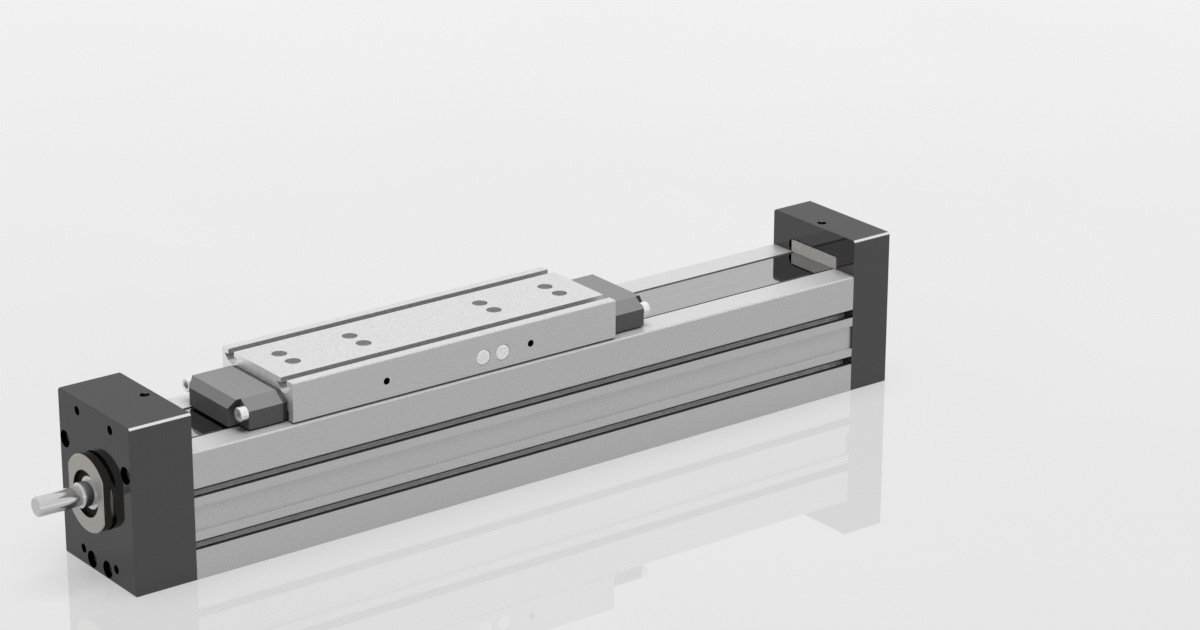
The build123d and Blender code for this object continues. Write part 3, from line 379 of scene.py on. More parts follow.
def dark_anodised():
    finish = Finish("dark_anodised", grey(0.085), 0.97, 0.06)
    finish.shader.inputs["Specular Tint"].default_value = (0.75, 0.75, 0.75, 1)
    clouds = finish.noise(35.0, detail=4.0)
    finish.rough(clouds, 0.04, 0.08)
    pores = finish.noise(3800.0, detail=2.0)
    finish.tint(pores, grey(0.07), grey(0.093))
    sloping = finish.maths("COMPARE", finish.facing("Y"), SLOPE_45, SLOPE_TOLERANCE)
    bare_edge_and_highlight = finish.maths("MULTIPLY", sloping, finish.above(BARE_EDGE_HIGHLIGHT_ABOVE))
    # Painted highlight: the chamfers are painted light, partly bare metal and partly the lamp's
    # highlight.
    finish.patch(bare_edge_and_highlight, pores, grey(0.7), grey(0.85))
    # Painted shade: the insides of the counterbores and flange holes are painted black.
    from_centre = finish.maths("ABSOLUTE", finish.along("X"))
    outer_ends = finish.maths("GREATER_THAN", from_centre, COUNTERBORE_BEYOND)
    drive_end = finish.maths("LESS_THAN", finish.along("X"), FLANGE_HOLE_BEFORE)
    bores = [(y, z, COUNTERBORE_R, outer_ends) for y, z in COUNTERBORES]
    bores += [(y, z, FLANGE_HOLE_R, drive_end) for y, z in FLANGE_HOLES]
    for y, z, radius, reach in bores:
        bore = finish.in_bore(finish.apart("Y", 0, y), finish.apart("Z", z, 0), radius)
        inside = finish.maths("MULTIPLY", bore, reach)
        finish.patch(inside, pores, grey(0.003), grey(0.006))
    finish.bump(pores, 0.006 * MM, 0.3)
    return finish.material


block_finish = dark_anodised()
print("block finish:", block_finish.name)

# %% [markdown]
# Turned and ground steel. The shaft is ground, with fine rings round its axis. The collar is
# turned, so its face shows rings and is a little warm. Its rim and bore, the faces that don't look
# along X, get a darker and smoother tint. The rings are noise that depends on the distance from
# the shaft's axis and on the place along it, and not on the angle.

# %% Turned and ground steel
SCREW_AXIS_HEIGHT = 51.5 * MM
RIM_BELOW = 0.5
RIM_SMOOTHER = 0.2


def turning_rings(finish, scale):
    """Noise in rings round the screw's axis, for turned and ground pieces."""
    height = finish.maths("SUBTRACT", finish.along("Z"), SCREW_AXIS_HEIGHT)
    flat = finish.add("ShaderNodeCombineXYZ")
    finish.link(finish.along("Y"), flat.inputs["X"])
    finish.link(height, flat.inputs["Y"])
    radius = finish.add("ShaderNodeVectorMath")
    radius.operation = "LENGTH"
    finish.link(flat.outputs["Vector"], radius.inputs[0])
    along = finish.add("ShaderNodeCombineXYZ")
    finish.link(radius.outputs["Value"], along.inputs["X"])
    finish.link(finish.along("X"), along.inputs["Y"])
    texture = finish.add("ShaderNodeTexNoise")
    texture.inputs["Scale"].default_value = scale
    texture.inputs["Detail"].default_value = 2.0
    finish.link(along.outputs["Vector"], texture.inputs["Vector"])
    return texture.outputs["Fac"]


def ground_steel():
    finish = Finish("ground_steel", grey(0.66), 0.94, 0.1)
    rings = turning_rings(finish, 5200.0)
    finish.tint(rings, grey(0.46), grey(0.64))
    finish.rough(rings, 0.05, 0.14)
    finish.bump(rings, 0.004 * MM, 0.5)
    return finish.material


def turned_collar():
    finish = Finish("turned_collar", (0.42, 0.4, 0.37), 1.0, 0.3)
    rings = turning_rings(finish, 4200.0)
    finish.tint(rings, (0.32, 0.302, 0.276), (0.44, 0.418, 0.387))
    # Faces that don't look along X get a darker tint and a lower roughness.
    rim = finish.maths("LESS_THAN", finish.facing("X"), RIM_BELOW)
    finish.patch(rim, rings, (0.17, 0.157, 0.138), (0.23, 0.213, 0.188))
    roughness = finish.maths("MULTIPLY_ADD", rim, -RIM_SMOOTHER, finish.spread(rings, 0.26, 0.38))
    finish.link(roughness, finish.shader.inputs["Roughness"])
    finish.bump(rings, 0.015 * MM, 0.6)
    return finish.material


ground_finish = ground_steel()
collar_finish = turned_collar()
print("turned and ground:", ground_finish.name, collar_finish.name)

# %% [markdown]
# The other steel pieces. The cover band is cold rolled and nearly a mirror, with faint lines
# along it. The grease plugs are brushed. The screws are bright zinc or black oxide, and both
# coats have a grain of small crystals that breaks up the gloss.

# %% Band, plugs and screws
def rolled_band():
    finish = Finish("rolled_band", grey(0.45), 1.0, 0.1)
    rolling = finish.noise(1500.0, stretch=(0.006, 1, 1))
    finish.tint(rolling, grey(0.42), grey(0.48))
    finish.rough(rolling, 0.03, 0.07)
    return finish.material


def bright_zinc():
    finish = Finish("bright_zinc", grey(0.7), 0.9, 0.32, edge=0.15 * MM)
    crystals = finish.noise(1900.0, detail=3.0)
    finish.tint(crystals, grey(0.62), grey(0.78))
    finish.rough(crystals, 0.25, 0.4)
    finish.bump(crystals, 0.01 * MM, 0.4)
    return finish.material


def plug_steel():
    finish = Finish("plug_steel", grey(0.82), 1.0, 0.24, edge=0.1 * MM)
    brushed = finish.noise(1100.0, stretch=(0.35, 1, 1.4), detail=3.0)
    finish.tint(brushed, grey(0.66), grey(0.92))
    finish.rough(brushed, 0.18, 0.32)
    finish.bump(brushed, 0.02 * MM, 0.5)
    return finish.material


def black_oxide():
    finish = Finish("black_oxide", grey(0.03), 0.6, 0.35, edge=0.15 * MM)
    bloom = finish.noise(1200.0, detail=3.0)
    finish.tint(bloom, grey(0.018), grey(0.05))
    finish.rough(bloom, 0.28, 0.45)
    finish.bump(bloom, 0.01 * MM, 0.4)
    return finish.material


band_finish = rolled_band()
zinc_finish = bright_zinc()
plug_finish = plug_steel()
oxide_finish = black_oxide()
print("steel finishes:", band_finish.name, zinc_finish.name, plug_finish.name, oxide_finish.name)

# %% [markdown]
# Plastic and rubber. The carriage caps are moulded in a dark grey plastic with a fine
# spark-eroded grain, so they are never glossy. The clamp blocks of the band are a warm grey
# plastic. Seals, wipers and buffers are black rubber, which hardly shines at all.

# %% Plastic and rubber
def moulded_plastic(name, colour, spread, roughness, gloss=0.5, grain_scale=2400.0):
    finish = Finish(name, colour, 0.0, roughness, edge=0.3 * MM)
    finish.shader.inputs["Specular IOR Level"].default_value = gloss
    grain = finish.noise(grain_scale, detail=3.0, rough=0.6)
    dark = [value * (1 - spread) for value in colour]
    light = [value * (1 + spread) for value in colour]
    finish.tint(grain, dark, light)
    finish.rough(grain, roughness - 0.06, roughness + 0.08)
    finish.bump(grain, 0.03 * MM, 0.5)
    return finish.material


def black_rubber():
    finish = Finish("black_rubber", grey(0.018), 0.0, 0.6, edge=0.3 * MM)
    grain = finish.noise(1500.0, detail=4.0)
    finish.tint(grain, grey(0.012), grey(0.026))
    finish.rough(grain, 0.52, 0.7)
    finish.bump(grain, 0.02 * MM, 0.5)
    finish.shader.inputs["Specular IOR Level"].default_value = 0.15
    return finish.material


cap_finish = moulded_plastic("cap_plastic", grey(0.056), 0.2, 0.52, gloss=0.1)
clamp_finish = moulded_plastic(
    "clamp_plastic", (0.31, 0.292, 0.279), 0.3, 0.5, gloss=0.3, grain_scale=1300.0
)
black_plastic_finish = moulded_plastic("black_plastic", grey(0.02), 0.25, 0.45)
rubber_finish = black_rubber()
print("plastic finishes:", cap_finish.name, clamp_finish.name, rubber_finish.name)

# %% [markdown]
# Every node of the frame takes the finish of its material slot. The record says which slot a node
# has, so the same few lines dress all the pieces.

# %% Dress the frame
FINISH_OF_SLOT = {
    "profile_aluminium": profile_finish,
    "table_aluminium": table_finish,
    "machined_aluminium": milled_finish,
    "block_anodised": block_finish,
    "ground_steel": ground_finish,
    "band_steel": band_finish,
    "collar_steel": collar_finish,
    "dark_steel": oxide_finish,
    "black_screws": oxide_finish,
    "zinc_screws": zinc_finish,
    "bearing_steel": ground_finish,
    "clamp_plastic": clamp_finish,
    "cap_plastic": cap_finish,
    "black_plastic": black_plastic_finish,
    "black_rubber": rubber_finish,
}
slot_of_node = {row["node"]: row["material_slot"] for row in frame["record"]["subparts"]}
for name, node in nodes.items():
    node.data.materials.clear()
    node.data.materials.append(FINISH_OF_SLOT[slot_of_node[name]])
print("dressed:", len(nodes), "nodes in", len(FINISH_OF_SLOT), "finishes")

# %% [markdown]
# Socket head screws. The solid model has their sizes. A real head has a knurled rim, a chamfered
# crown and a hexagon socket with a countersunk mouth, and its shank carries a thread. Each screw
# is built as one closed mesh: rings of points round an axis, from the tip of the shank to the
# bottom of the socket.

# %% Screw mesh
RING_POINTS = 48
SHARP_FROM = math.radians(32)
KNURL_TEETH = 24
THREAD_PITCH = 0.8 * MM
KNURL_DEPTH = 0.018
TIP_SHARE = 0.7
ROOT_SHARE = 0.88
ROOT_AT = 0.6
CREST_AFTER = 0.45
CREST_WIDTH = 0.15
HEAD_CHAMFER = 0.1
SOCKET_MOUTH = 1.12
SOCKET_CONE = 1.15
SOCKET_BOTTOM = 0.35


def ring_radius(kind, angle, radius):
    """The radius of a ring at an angle: round, knurled or hexagonal."""
    if kind == "knurl":
        return radius * (1 - KNURL_DEPTH * (1 + math.cos(KNURL_TEETH * angle)) / 2)
    if kind == "hexagon":
        sector = math.pi / 3
        return radius * math.cos(sector / 2) / math.cos(angle % sector - sector / 2)
    return radius


def screw_rings(head_r, head_height, shank_r, shank_length, socket_r, socket_depth):
    """The rings of a socket head screw along its axis: kind, height over the seat and radius."""
    rings = [("round", -shank_length, shank_r * TIP_SHARE)]
    turns = int((shank_length - 2 * THREAD_PITCH) / THREAD_PITCH)
    for turn in range(turns):
        root = -shank_length + (turn + ROOT_AT) * THREAD_PITCH
        crest = root + THREAD_PITCH * CREST_AFTER
        rings.append(("round", root, shank_r * ROOT_SHARE))
        rings.append(("round", crest, shank_r))
        rings.append(("round", crest + THREAD_PITCH * CREST_WIDTH, shank_r))
    chamfer = head_r * HEAD_CHAMFER
    rings += [
        ("round", -THREAD_PITCH, shank_r),
        ("round", 0.0, shank_r),
        ("round", 0.0, head_r - chamfer / 2),
        ("knurl", chamfer / 2, head_r),
        ("knurl", head_height - chamfer, head_r),
        ("round", head_height, head_r - chamfer),
        ("round", head_height, socket_r * SOCKET_MOUTH),
        ("hexagon", head_height - socket_r * (SOCKET_MOUTH - 1), socket_r),
        ("hexagon", head_height - socket_depth, socket_r),
        ("round", head_height - socket_depth * SOCKET_CONE, socket_r * SOCKET_BOTTOM),
    ]
    return rings


def add_rings(mesh, rings, to_place):
    """Adds one closed solid of rings to a bmesh, moved to its place."""
    loops = []
    for kind, height, radius in rings:
        loop = []
        for index in range(RING_POINTS):
            angle = 2 * math.pi * index / RING_POINTS
            r = ring_radius(kind, angle, radius)
            point = Vector((r * math.cos(angle), r * math.sin(angle), height))
            loop.append(mesh.verts.new(to_place @ point))
        loops.append(loop)
    for low, high in zip(loops, loops[1:]):
        for index in range(RING_POINTS):
            after = (index + 1) % RING_POINTS
            mesh.faces.new((low[index], low[after], high[after], high[index]))
    mesh.faces.new(list(reversed(loops[0])))
    mesh.faces.new(loops[-1])


def finish_mesh(mesh, name, material):
    """Turns a bmesh into a linked object with smooth faces and sharp edges kept."""
    bmesh.ops.recalc_face_normals(mesh, faces=mesh.faces)
    for face in mesh.faces:
        face.smooth = True
    for edge in mesh.edges:
        edge.smooth = len(edge.link_faces) == 2 and edge.calc_face_angle(0) < SHARP_FROM
    data = bpy.data.meshes.new(name)
    mesh.to_mesh(data)
    mesh.free()
    data.materials.append(material)
    piece = bpy.data.objects.new(name, data)
    bpy.context.scene.collection.objects.link(piece)
    return piece


def place_along(point, direction):
    """A matrix that puts a piece's own Z axis along the direction at the point."""
    turn = Vector((0, 0, 1)).rotation_difference(Vector(direction)).to_matrix().to_4x4()
    return Matrix.Translation(Vector(point)) @ turn


print("screw ring points:", RING_POINTS, "knurl teeth:", KNURL_TEETH)

# %% [markdown]
# The screws that show are the bright ones in the corners of the carriage caps and the black ones
# deep in the counterbores of the end blocks. Their places come from the frame: each node's box
# gives the ends of the group, and the pattern of the fixing holes gives the rest.

# %% Screws in the caps and the end blocks
HEAD_R = 4.25 * MM
HEAD_HEIGHT = 5.0 * MM
SHANK_R = 2.5 * MM
SOCKET_R = 2.3 * MM
SOCKET_DEPTH = 2.5 * MM
BLOCK_SCREWS_YZ = [(-34.0, 72.2), (34.0, 72.2), (-8.8, 6.0), (8.8, 6.0)]
CAP_SCREWS_YZ = [(-28.5, 88.4), (28.5, 88.4)]


def screw_group(name, node, places_yz, outward, material, body):
    """The screws of one node, all along X, with their heads on the side that outward points to."""
    low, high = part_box(node)
    length = high[0] - low[0]
    seat_x = high[0] - HEAD_HEIGHT if outward > 0 else low[0] + HEAD_HEIGHT
    mesh = bmesh.new()
    shank = length - HEAD_HEIGHT
    rings = screw_rings(HEAD_R, HEAD_HEIGHT, SHANK_R, shank, SOCKET_R, SOCKET_DEPTH)
    for y, z in places_yz:
        add_rings(mesh, rings, place_along((seat_x, y * MM, z * MM), (outward, 0, 0)))
    piece = finish_mesh(mesh, name, material)
    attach(piece, body)
    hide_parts(node)
    return piece


for end, outward in (("drive", -1), ("idle", 1)):
    cap_group = screw_group(
        f"{end}_cap_socket_screws", f"cap_screws_{end}", CAP_SCREWS_YZ, outward,
        zinc_finish, "carriage",
    )
    block_group = screw_group(
        f"{end}_block_socket_screws", f"{end}_block_screws", BLOCK_SCREWS_YZ, outward,
        oxide_finish, "frame",
    )
    print(cap_group.name, len(cap_group.data.polygons))
    print(block_group.name, len(block_group.data.polygons))

# %% [markdown]
# The ball screw. Its drive end is a ground journal, and the long part carries a rounded helical
# track in which the balls of the nut run. A helix is easiest as a grid: one set of points goes
# round, the other goes along, and the depth of the track depends on how far a point is from the
# thread's centre line.

# %% Ball screw with its track
LEAD = 5.0 * MM
SCREW_R = 8.0 * MM
TRACK_DEPTH = 1.1 * MM
TRACK_SHARE = 0.62
STEPS_PER_LEAD = 10
SCREW_POINTS = 36
JOURNAL_R = 6.0 * MM
SEAT_R = 7.5 * MM
SHOULDER_R = 9.5 * MM
IDLE_SEAT_R = 6.0 * MM
CLIP_GROOVE_R = 5.58 * MM
JOURNAL_EDGE = 0.8 * MM
SEAT_START = -296.9 * MM
SHOULDER_START = -257.0 * MM
THREAD_START = -250.0 * MM
THREAD_END = 250.0 * MM
CLIP_START = 258.0 * MM
CLIP_END = 259.0 * MM


def track_radius(x, angle):
    """The screw's radius where it is threaded: a rounded groove along a right-hand helix."""
    turn = (x / LEAD - angle / (2 * math.pi)) % 1.0
    from_middle = abs(turn - 0.5) * 2 / TRACK_SHARE
    if from_middle >= 1:
        return SCREW_R
    return SCREW_R - TRACK_DEPTH * math.sqrt(1 - from_middle ** 2)


def ball_screw_stations(start, end):
    """Places along the screw with the radius at each, or None where the track decides."""
    stations = [
        (start, JOURNAL_R - JOURNAL_EDGE),
        (start + JOURNAL_EDGE, JOURNAL_R),
        (SEAT_START, JOURNAL_R),
        (SEAT_START, SEAT_R - JOURNAL_EDGE),
        (SEAT_START + JOURNAL_EDGE, SEAT_R),
        (SHOULDER_START, SEAT_R),
        (SHOULDER_START, SHOULDER_R),
        (THREAD_START, SHOULDER_R),
    ]
    count = round((THREAD_END - THREAD_START) / LEAD * STEPS_PER_LEAD)
    step = (THREAD_END - THREAD_START) / count
    stations += [(THREAD_START + step * index, None) for index in range(count + 1)]
    stations += [
        (THREAD_END, IDLE_SEAT_R),
        (CLIP_START, IDLE_SEAT_R),
        (CLIP_START, CLIP_GROOVE_R),
        (CLIP_END, CLIP_GROOVE_R),
        (CLIP_END, IDLE_SEAT_R),
        (end - JOURNAL_EDGE, IDLE_SEAT_R),
        (end, IDLE_SEAT_R - JOURNAL_EDGE),
    ]
    return stations


def build_ball_screw():
    low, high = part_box("ball_screw")
    mesh = bmesh.new()
    loops = []
    for x, radius in ball_screw_stations(low[0], high[0]):
        loop = []
        for index in range(SCREW_POINTS):
            angle = 2 * math.pi * index / SCREW_POINTS
            r = track_radius(x, angle) if radius is None else radius
            z = SCREW_AXIS_HEIGHT + r * math.cos(angle)
            loop.append(mesh.verts.new((x, r * math.sin(angle), z)))
        loops.append(loop)
    for low_loop, high_loop in zip(loops, loops[1:]):
        for index in range(SCREW_POINTS):
            after = (index + 1) % SCREW_POINTS
            mesh.faces.new((low_loop[index], low_loop[after], high_loop[after], high_loop[index]))
    mesh.faces.new(loops[0])
    mesh.faces.new(list(reversed(loops[-1])))
    piece = finish_mesh(mesh, "rolled_ball_screw", ground_finish)
    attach(piece, "screw")
    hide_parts("ball_screw")
    return piece


ball_screw_piece = build_ball_screw()
print(ball_screw_piece.name, len(ball_screw_piece.data.polygons))

# %% [markdown]
# The carriage caps. A real cap is one plastic moulding with sloping shoulders, a sloping end and
# a pocket in each outer corner, where its screw is reached. The solid model has round-topped
# pockets. The real ones have straight walls that lean in to a peak at the shoulder, so the cap is
# made again: a straight prism, with the sloping end, the pockets and the room for the wiper cut
# away by exact booleans.

# %% Caps with their corner pockets
CAP_GAP = 3.05
CAP_DEPTH = 30.35
CAP_HALF = [(32.2, 79.0), (32.2, 90.1), (24.0, 95.7)]
CAP_SHOULDER_Z = 90.1
CAP_TOP_Z = 95.7
CAP_END_SLOPE = 4.2
POCKET_HALF = [(21.0, 78.0), (21.0, 90.1), (24.0, 95.7), (24.0, 97.0), (33.2, 97.0), (33.2, 78.0)]
POCKET_DEPTH = 7.25
WIPER_ROOM = [(-19.0, 78.0), (19.0, 78.0), (19.0, 88.0), (-19.0, 88.0)]
WIPER_HALF = 7.0
BEYOND = 1.0
CUTTER_HALF = 40.0


def mirrored(half):
    """The whole outline from its half on the +Y side."""
    return half + [(-y, z) for y, z in reversed(half)]


def prism(name, outline, start, end, material, along="x"):
    """A straight solid along X or Y, in millimetres, from the outline of its section."""
    mesh = bmesh.new()
    rows = []
    for place in (start, end):
        points = [(place, a, b) if along == "x" else (a, place, b) for a, b in outline]
        rows.append([mesh.verts.new(Vector(point) * MM) for point in points])
    for index in range(len(outline)):
        after = (index + 1) % len(outline)
        mesh.faces.new((rows[0][index], rows[0][after], rows[1][after], rows[1][index]))
    mesh.faces.new(list(reversed(rows[0])))
    mesh.faces.new(rows[1])
    return finish_mesh(mesh, name, material)


def cut_away(piece, cutters):
    """Takes the cutters out of the piece and deletes them."""
    for cutter in cutters:
        cut = piece.modifiers.new(cutter.name, "BOOLEAN")
        cut.object = cutter
        cut.operation = "DIFFERENCE"
        cut.solver = "EXACT"
    graph = bpy.context.evaluated_depsgraph_get()
    shaped = bpy.data.meshes.new_from_object(piece.evaluated_get(graph))
    shaped.polygons.foreach_set("use_smooth", [False] * len(shaped.polygons))
    piece.modifiers.clear()
    piece.data = shaped
    for cutter in cutters:
        bpy.data.objects.remove(cutter)


def cap_shell(end, side, table_end):
    """One cap; side is -1 at the drive end and 1 at the idle end."""
    rear = table_end + side * CAP_GAP
    face = rear + side * CAP_DEPTH
    middle = (rear + face) / 2
    shell = prism(f"{end}_cap_shell", mirrored(CAP_HALF), rear, face, cap_finish)
    slope = [
        (face - side * CAP_END_SLOPE, CAP_TOP_Z),
        (face, CAP_SHOULDER_Z),
        (face + side * BEYOND, CAP_SHOULDER_Z),
        (face + side * BEYOND, CAP_TOP_Z + BEYOND),
        (face - side * CAP_END_SLOPE, CAP_TOP_Z + BEYOND),
    ]
    cutters = [prism("cap_slope_cutter", slope, -CUTTER_HALF, CUTTER_HALF, cap_finish, along="y")]
    for hand in (-1, 1):
        pocket = [(hand * y, z) for y, z in POCKET_HALF]
        start = face - side * POCKET_DEPTH
        cutters.append(prism("cap_pocket_cutter", pocket, start, face + side * BEYOND, cap_finish))
    wiper_room = (middle - WIPER_HALF, middle + WIPER_HALF)
    cutters.append(prism("wiper_room_cutter", WIPER_ROOM, *wiper_room, cap_finish))
    cut_away(shell, cutters)
    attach(shell, "carriage")
    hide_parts(f"cap_{end}")
    return shell


table_low, table_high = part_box("table")
for end, side, table_end in (("drive", -1, table_low[0]), ("idle", 1, table_high[0])):
    shell = cap_shell(end, side, table_end / MM)
    print(shell.name, len(shell.data.polygons))

# %% [markdown]
# The end seals. Between the table and each cap lies a black rubber plate. It is smaller than the
# cap all round, so what shows is a dark gap. Its outline is the cap's, drawn in by half a
# millimetre, which still covers the shanks of the cap screws that pass through it.

# %% End seals
SEAL_HALF = [(31.7, 79.5), (31.7, 89.84), (23.85, 95.2)]

for end, side, table_end in (("drive", -1, table_low[0]), ("idle", 1, table_high[0])):
    rear = table_end / MM
    front = rear + side * CAP_GAP
    seal = prism(f"{end}_seal_plate", mirrored(SEAL_HALF), rear, front, rubber_finish)
    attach(seal, "carriage")
    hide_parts(f"end_seal_{end}")
    print(seal.name, "faces:", len(seal.data.polygons))

# %% [markdown]
# Turned pieces. Inside the collar's bore shows a bright ring beside the shaft: the hub of the
# lock nut that clamps the inner rings, with the shaft seal running on it. Both are closed
# outlines of place and radius, turned round an axis.

# %% Lock nut and shaft seal
TURNED_POINTS = 64
NUT_BODY_START = -286.5
NUT_BODY_END = -279.0
NUT_BODY_R = 12.5
NUT_EDGE = 0.5
HUB_START = -289.5
HUB_R = 10.0
NUT_BORE_R = 7.52
SEAL_START = -288.9
SEAL_END = -287.0
SEAL_OUTER_R = 13.98
SEAL_RIM_R = 12.98
SEAL_DISH_OUTER_R = 12.58
SEAL_DISH_INNER_R = 10.9
SEAL_LIP_R = 10.1
SEAL_DISH = 0.5


def turned(mesh, outline, to_place):
    """Adds a ring solid to a bmesh: a closed outline of height and radius, in mm, turned round."""
    loops = []
    for height, radius in outline:
        loop = []
        for index in range(TURNED_POINTS):
            angle = 2 * math.pi * index / TURNED_POINTS
            point = Vector((radius * math.cos(angle), radius * math.sin(angle), height)) * MM
            loop.append(mesh.verts.new(to_place @ point))
        loops.append(loop)
    for low_loop, high_loop in zip(loops, loops[1:] + loops[:1]):
        for index in range(TURNED_POINTS):
            after = (index + 1) % TURNED_POINTS
            mesh.faces.new((low_loop[index], low_loop[after], high_loop[after], high_loop[index]))


def shaft_ring(name, outline, material, body, node):
    """A turned piece round the screw's axis that stands for a node."""
    mesh = bmesh.new()
    turned(mesh, outline, place_along((0, 0, SCREW_AXIS_HEIGHT), (1, 0, 0)))
    piece = finish_mesh(mesh, name, material)
    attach(piece, body)
    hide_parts(node)
    print(name, len(piece.data.polygons))


nut_outline = [
    (HUB_START, NUT_BORE_R), (HUB_START, HUB_R - NUT_EDGE / 2), (HUB_START + NUT_EDGE / 2, HUB_R),
    (NUT_BODY_START, HUB_R), (NUT_BODY_START, NUT_BODY_R - NUT_EDGE),
    (NUT_BODY_START + NUT_EDGE, NUT_BODY_R), (NUT_BODY_END, NUT_BODY_R), (NUT_BODY_END, NUT_BORE_R),
]
seal_outline = [
    (SEAL_START, SEAL_OUTER_R), (SEAL_START, SEAL_RIM_R),
    (SEAL_START + SEAL_DISH, SEAL_DISH_OUTER_R), (SEAL_START + SEAL_DISH, SEAL_DISH_INNER_R),
    (SEAL_START, SEAL_LIP_R), (SEAL_END, SEAL_LIP_R), (SEAL_END, SEAL_OUTER_R),
]
shaft_ring(
    "turned_lock_nut", nut_outline, ground_finish, "screw", "lock_nut"
)
shaft_ring("lipped_shaft_seal", seal_outline, rubber_finish, "frame", "shaft_seal")

# %% [markdown]
# The threads of the table's holes. The solid has plain bores, since a thread is too fine for it.
# Here a thin sleeve with a saw-tooth bore lines each hole. It is turned like the lock nut, so its
# teeth are rings and not a helix, which can't be told apart at this size.

# %% Threads of the tapped holes
HOLE_PITCH = 0.8
THREAD_HEIGHT = 0.32
THREAD_CREST_AT = 0.1
THREAD_ROOT_AT = 0.6
WALL = 0.02
TABLE_BORE_FLOOR = 99.0
TAPPED_HOLE_R = 2.5
TAPPED_DEPTH = 3.4
TABLE_HOLES = [
    (TABLE_MIDDLE_X + side * x, hand * TABLE_HOLE_Y)
    for x in TABLE_HOLE_PLACES
    for side in (-1, 1)
    for hand in (-1, 1)
]


def threaded_bore(depth, radius):
    """The outline of a thread sleeve that fills a tapped hole from its mouth down."""
    outline = [(-depth, radius - WALL), (0, radius - WALL)]
    turns = int(depth / HOLE_PITCH)
    for turn in range(turns):
        top = -turn * HOLE_PITCH
        outline.append((top - HOLE_PITCH * THREAD_CREST_AT, radius - 2 * WALL))
        outline.append((top - HOLE_PITCH * THREAD_ROOT_AT, radius - THREAD_HEIGHT))
    return outline


def table_threads():
    """A thread sleeve in each hole of the table, from the floor of its wider bore down."""
    mesh = bmesh.new()
    for x, y in TABLE_HOLES:
        mouth = Vector((x, y, TABLE_BORE_FLOOR)) * MM
        turned(mesh, threaded_bore(TAPPED_DEPTH, TAPPED_HOLE_R), place_along(mouth, (0, 0, 1)))
    threads = finish_mesh(mesh, "table_hole_threads", table_finish)
    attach(threads, "carriage")
    return threads


threads = table_threads()
print(threads.name, len(threads.data.polygons))

# %% [markdown]
# The plugs in the table's sides close the grease holes. They are plain steel discs, pressed in a
# little below the face, with a thin dark gap round them. Each is a stack of rings, closed at both
# ends, that dips slightly in its middle, so that it catches the light unevenly as the real ones
# do.

# %% Grease plugs
PLUG_PLACES = (17.5, 31.6)
PLUG_Z = 88.5
TABLE_HALF_WIDTH = 38.0
PLUG_RINGS = [(-5.0, 4.95), (-0.6, 4.95), (-0.25, 4.7), (-0.18, 4.2), (-0.3, 1.4)]


def plug_discs():
    mesh = bmesh.new()
    rings = [("round", height * MM, radius * MM) for height, radius in PLUG_RINGS]
    for place in PLUG_PLACES:
        for side in (-1, 1):
            point = Vector((TABLE_MIDDLE_X + place, side * TABLE_HALF_WIDTH, PLUG_Z)) * MM
            add_rings(mesh, rings, place_along(point, (0, side, 0)))
    discs = finish_mesh(mesh, "grease_plug_discs", plug_finish)
    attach(discs, "carriage")
    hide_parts("grease_plugs")
    return discs


discs = plug_discs()
print(discs.name, len(discs.data.polygons))

# %% [markdown]
# The band's clamps. A block of warm grey plastic sits in a pocket of each end block, flush with
# its face, and presses on the band. Its upper corners are sharp, and the lower ones are chamfered
# to clear the pocket.

# %% Band clamps
CLAMP_HALF = [(21.2, 77.7), (22.0, 78.5), (22.0, 86.0)]
CLAMP_FACE = 245.2
CLAMP_REAR = 258.0

for end, side in (("drive", -1), ("idle", 1)):
    faces_x = (side * CLAMP_FACE, side * CLAMP_REAR)
    clamp = prism(f"{end}_clamp_block", mirrored(CLAMP_HALF), *faces_x, clamp_finish)
    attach(clamp, "frame")
    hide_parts(f"band_clamp_{end}")
    print(clamp.name, "faces:", len(clamp.data.polygons))

# %% [markdown]
# The studio: a wide pale floor that runs out of the picture on every side, so no horizon shows.
# It is a light table: a glossy acrylic sheet lit from below. It mirrors the module faintly but
# crisply, and since most of its light comes from underneath, the module hardly throws a shadow on
# it.

# %% Floor
FLOOR_HALF = 30.0
FLOOR_GAP = 0.05 * MM
FLOOR_IOR = 1.7
FLOOR_GLOW = 0.44
FLOOR_GREY = 0.05
FLOOR_ROUGHNESS = 0.01


def pale_floor():
    finish = Finish("pale_floor", grey(FLOOR_GREY), 0.0, FLOOR_ROUGHNESS)
    finish.shader.inputs["Emission Color"].default_value = (1, 1, 1, 1)
    finish.shader.inputs["Emission Strength"].default_value = FLOOR_GLOW
    finish.shader.inputs["IOR"].default_value = FLOOR_IOR
    cloud = finish.noise(3.0, detail=3.0)
    finish.tint(cloud, grey(0.048), grey(0.052))
    return finish.material


def build_floor():
    mesh = bmesh.new()
    corners = [(-1, -1), (1, -1), (1, 1), (-1, 1)]
    places = [(x * FLOOR_HALF, y * FLOOR_HALF, -FLOOR_GAP) for x, y in corners]
    mesh.faces.new([mesh.verts.new(place) for place in places])
    floor = finish_mesh(mesh, "studio_floor", pale_floor())
    return floor


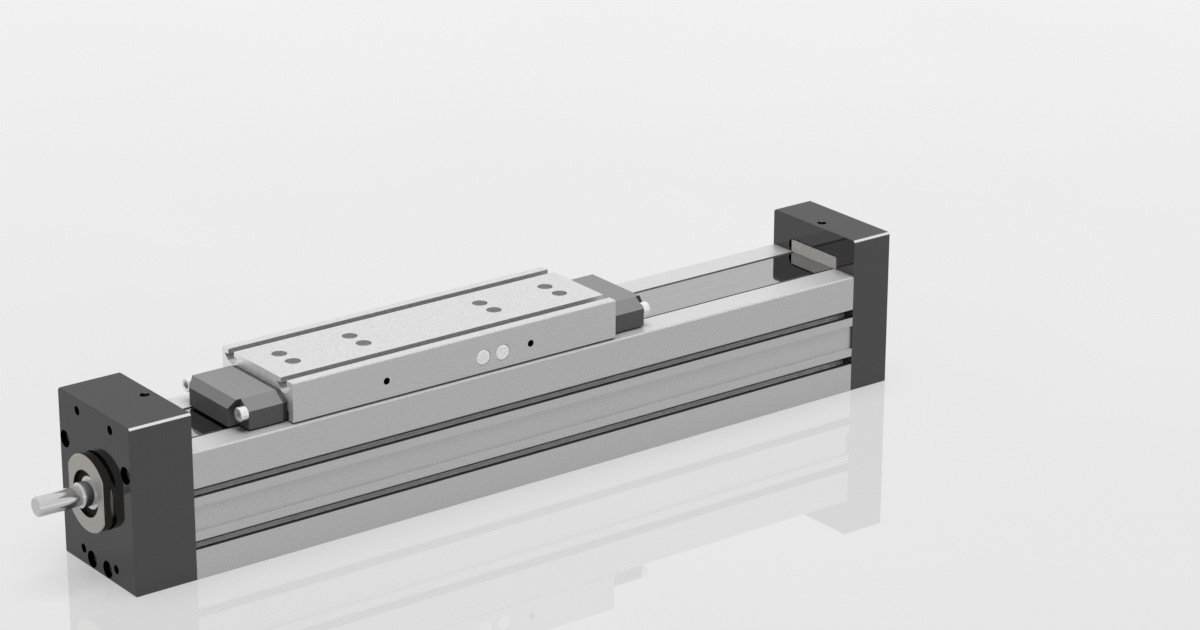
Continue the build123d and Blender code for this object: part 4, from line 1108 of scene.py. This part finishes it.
studio_floor = build_floor()
print(studio_floor.name, "width:", 2 * FLOOR_HALF)

# %% [markdown]
# Metal shows what is round it more than the light that falls on it. The world is therefore a pale
# tent, a little brighter at the horizon, and every upright face mirrors the tent or the floor.
# One wide lamp straight above, as far away as the sun, makes the level faces about twice as
# bright as the upright ones. The tops of the table and the lips therefore stand out, and the
# shadow stays faint. The lamp itself isn't mirrored: seen from above, its disc in the flat faces
# would outshine everything. The aluminium therefore scatters a part of the light, and that part
# looks the same from every side.

# %% Light
TENT_HORIZON = 1.0
TENT_TOP = 0.85
TENT_FADE = 0.35
TOP_LIGHT_FROM = Vector((0.03, -0.05, 1.0))
TOP_LIGHT_STRENGTH = 14.2
TOP_LIGHT_WIDTH = math.radians(40)


def top_light():
    data = bpy.data.lights.new("top_light", "SUN")
    data.energy = TOP_LIGHT_STRENGTH
    data.angle = TOP_LIGHT_WIDTH
    lamp = bpy.data.objects.new("top_light", data)
    bpy.context.scene.collection.objects.link(lamp)
    lamp.location = TOP_LIGHT_FROM
    lamp.visible_glossy = False
    lamp.rotation_euler = (-TOP_LIGHT_FROM).to_track_quat("-Z", "Y").to_euler()
    return lamp


def studio_world():
    world = bpy.data.worlds.new("pale_tent")
    world.use_nodes = True
    tree = world.node_tree
    direction = tree.nodes.new("ShaderNodeTexCoord")
    split = tree.nodes.new("ShaderNodeSeparateXYZ")
    height = tree.nodes.new("ShaderNodeMapRange")
    height.inputs["From Max"].default_value = TENT_FADE
    height.inputs["To Min"].default_value = TENT_HORIZON
    height.inputs["To Max"].default_value = TENT_TOP
    background = tree.nodes["Background"]
    background.inputs["Color"].default_value = (1, 1, 1, 1)
    tree.links.new(direction.outputs["Generated"], split.inputs["Vector"])
    tree.links.new(split.outputs["Z"], height.inputs["Value"])
    tree.links.new(height.outputs["Result"], background.inputs["Strength"])
    bpy.context.scene.world = world


studio_world()
lamp = top_light()
bpy.context.scene.view_settings.view_transform = "Standard"
print("lamp width:", round(math.degrees(lamp.data.angle)), "degrees")
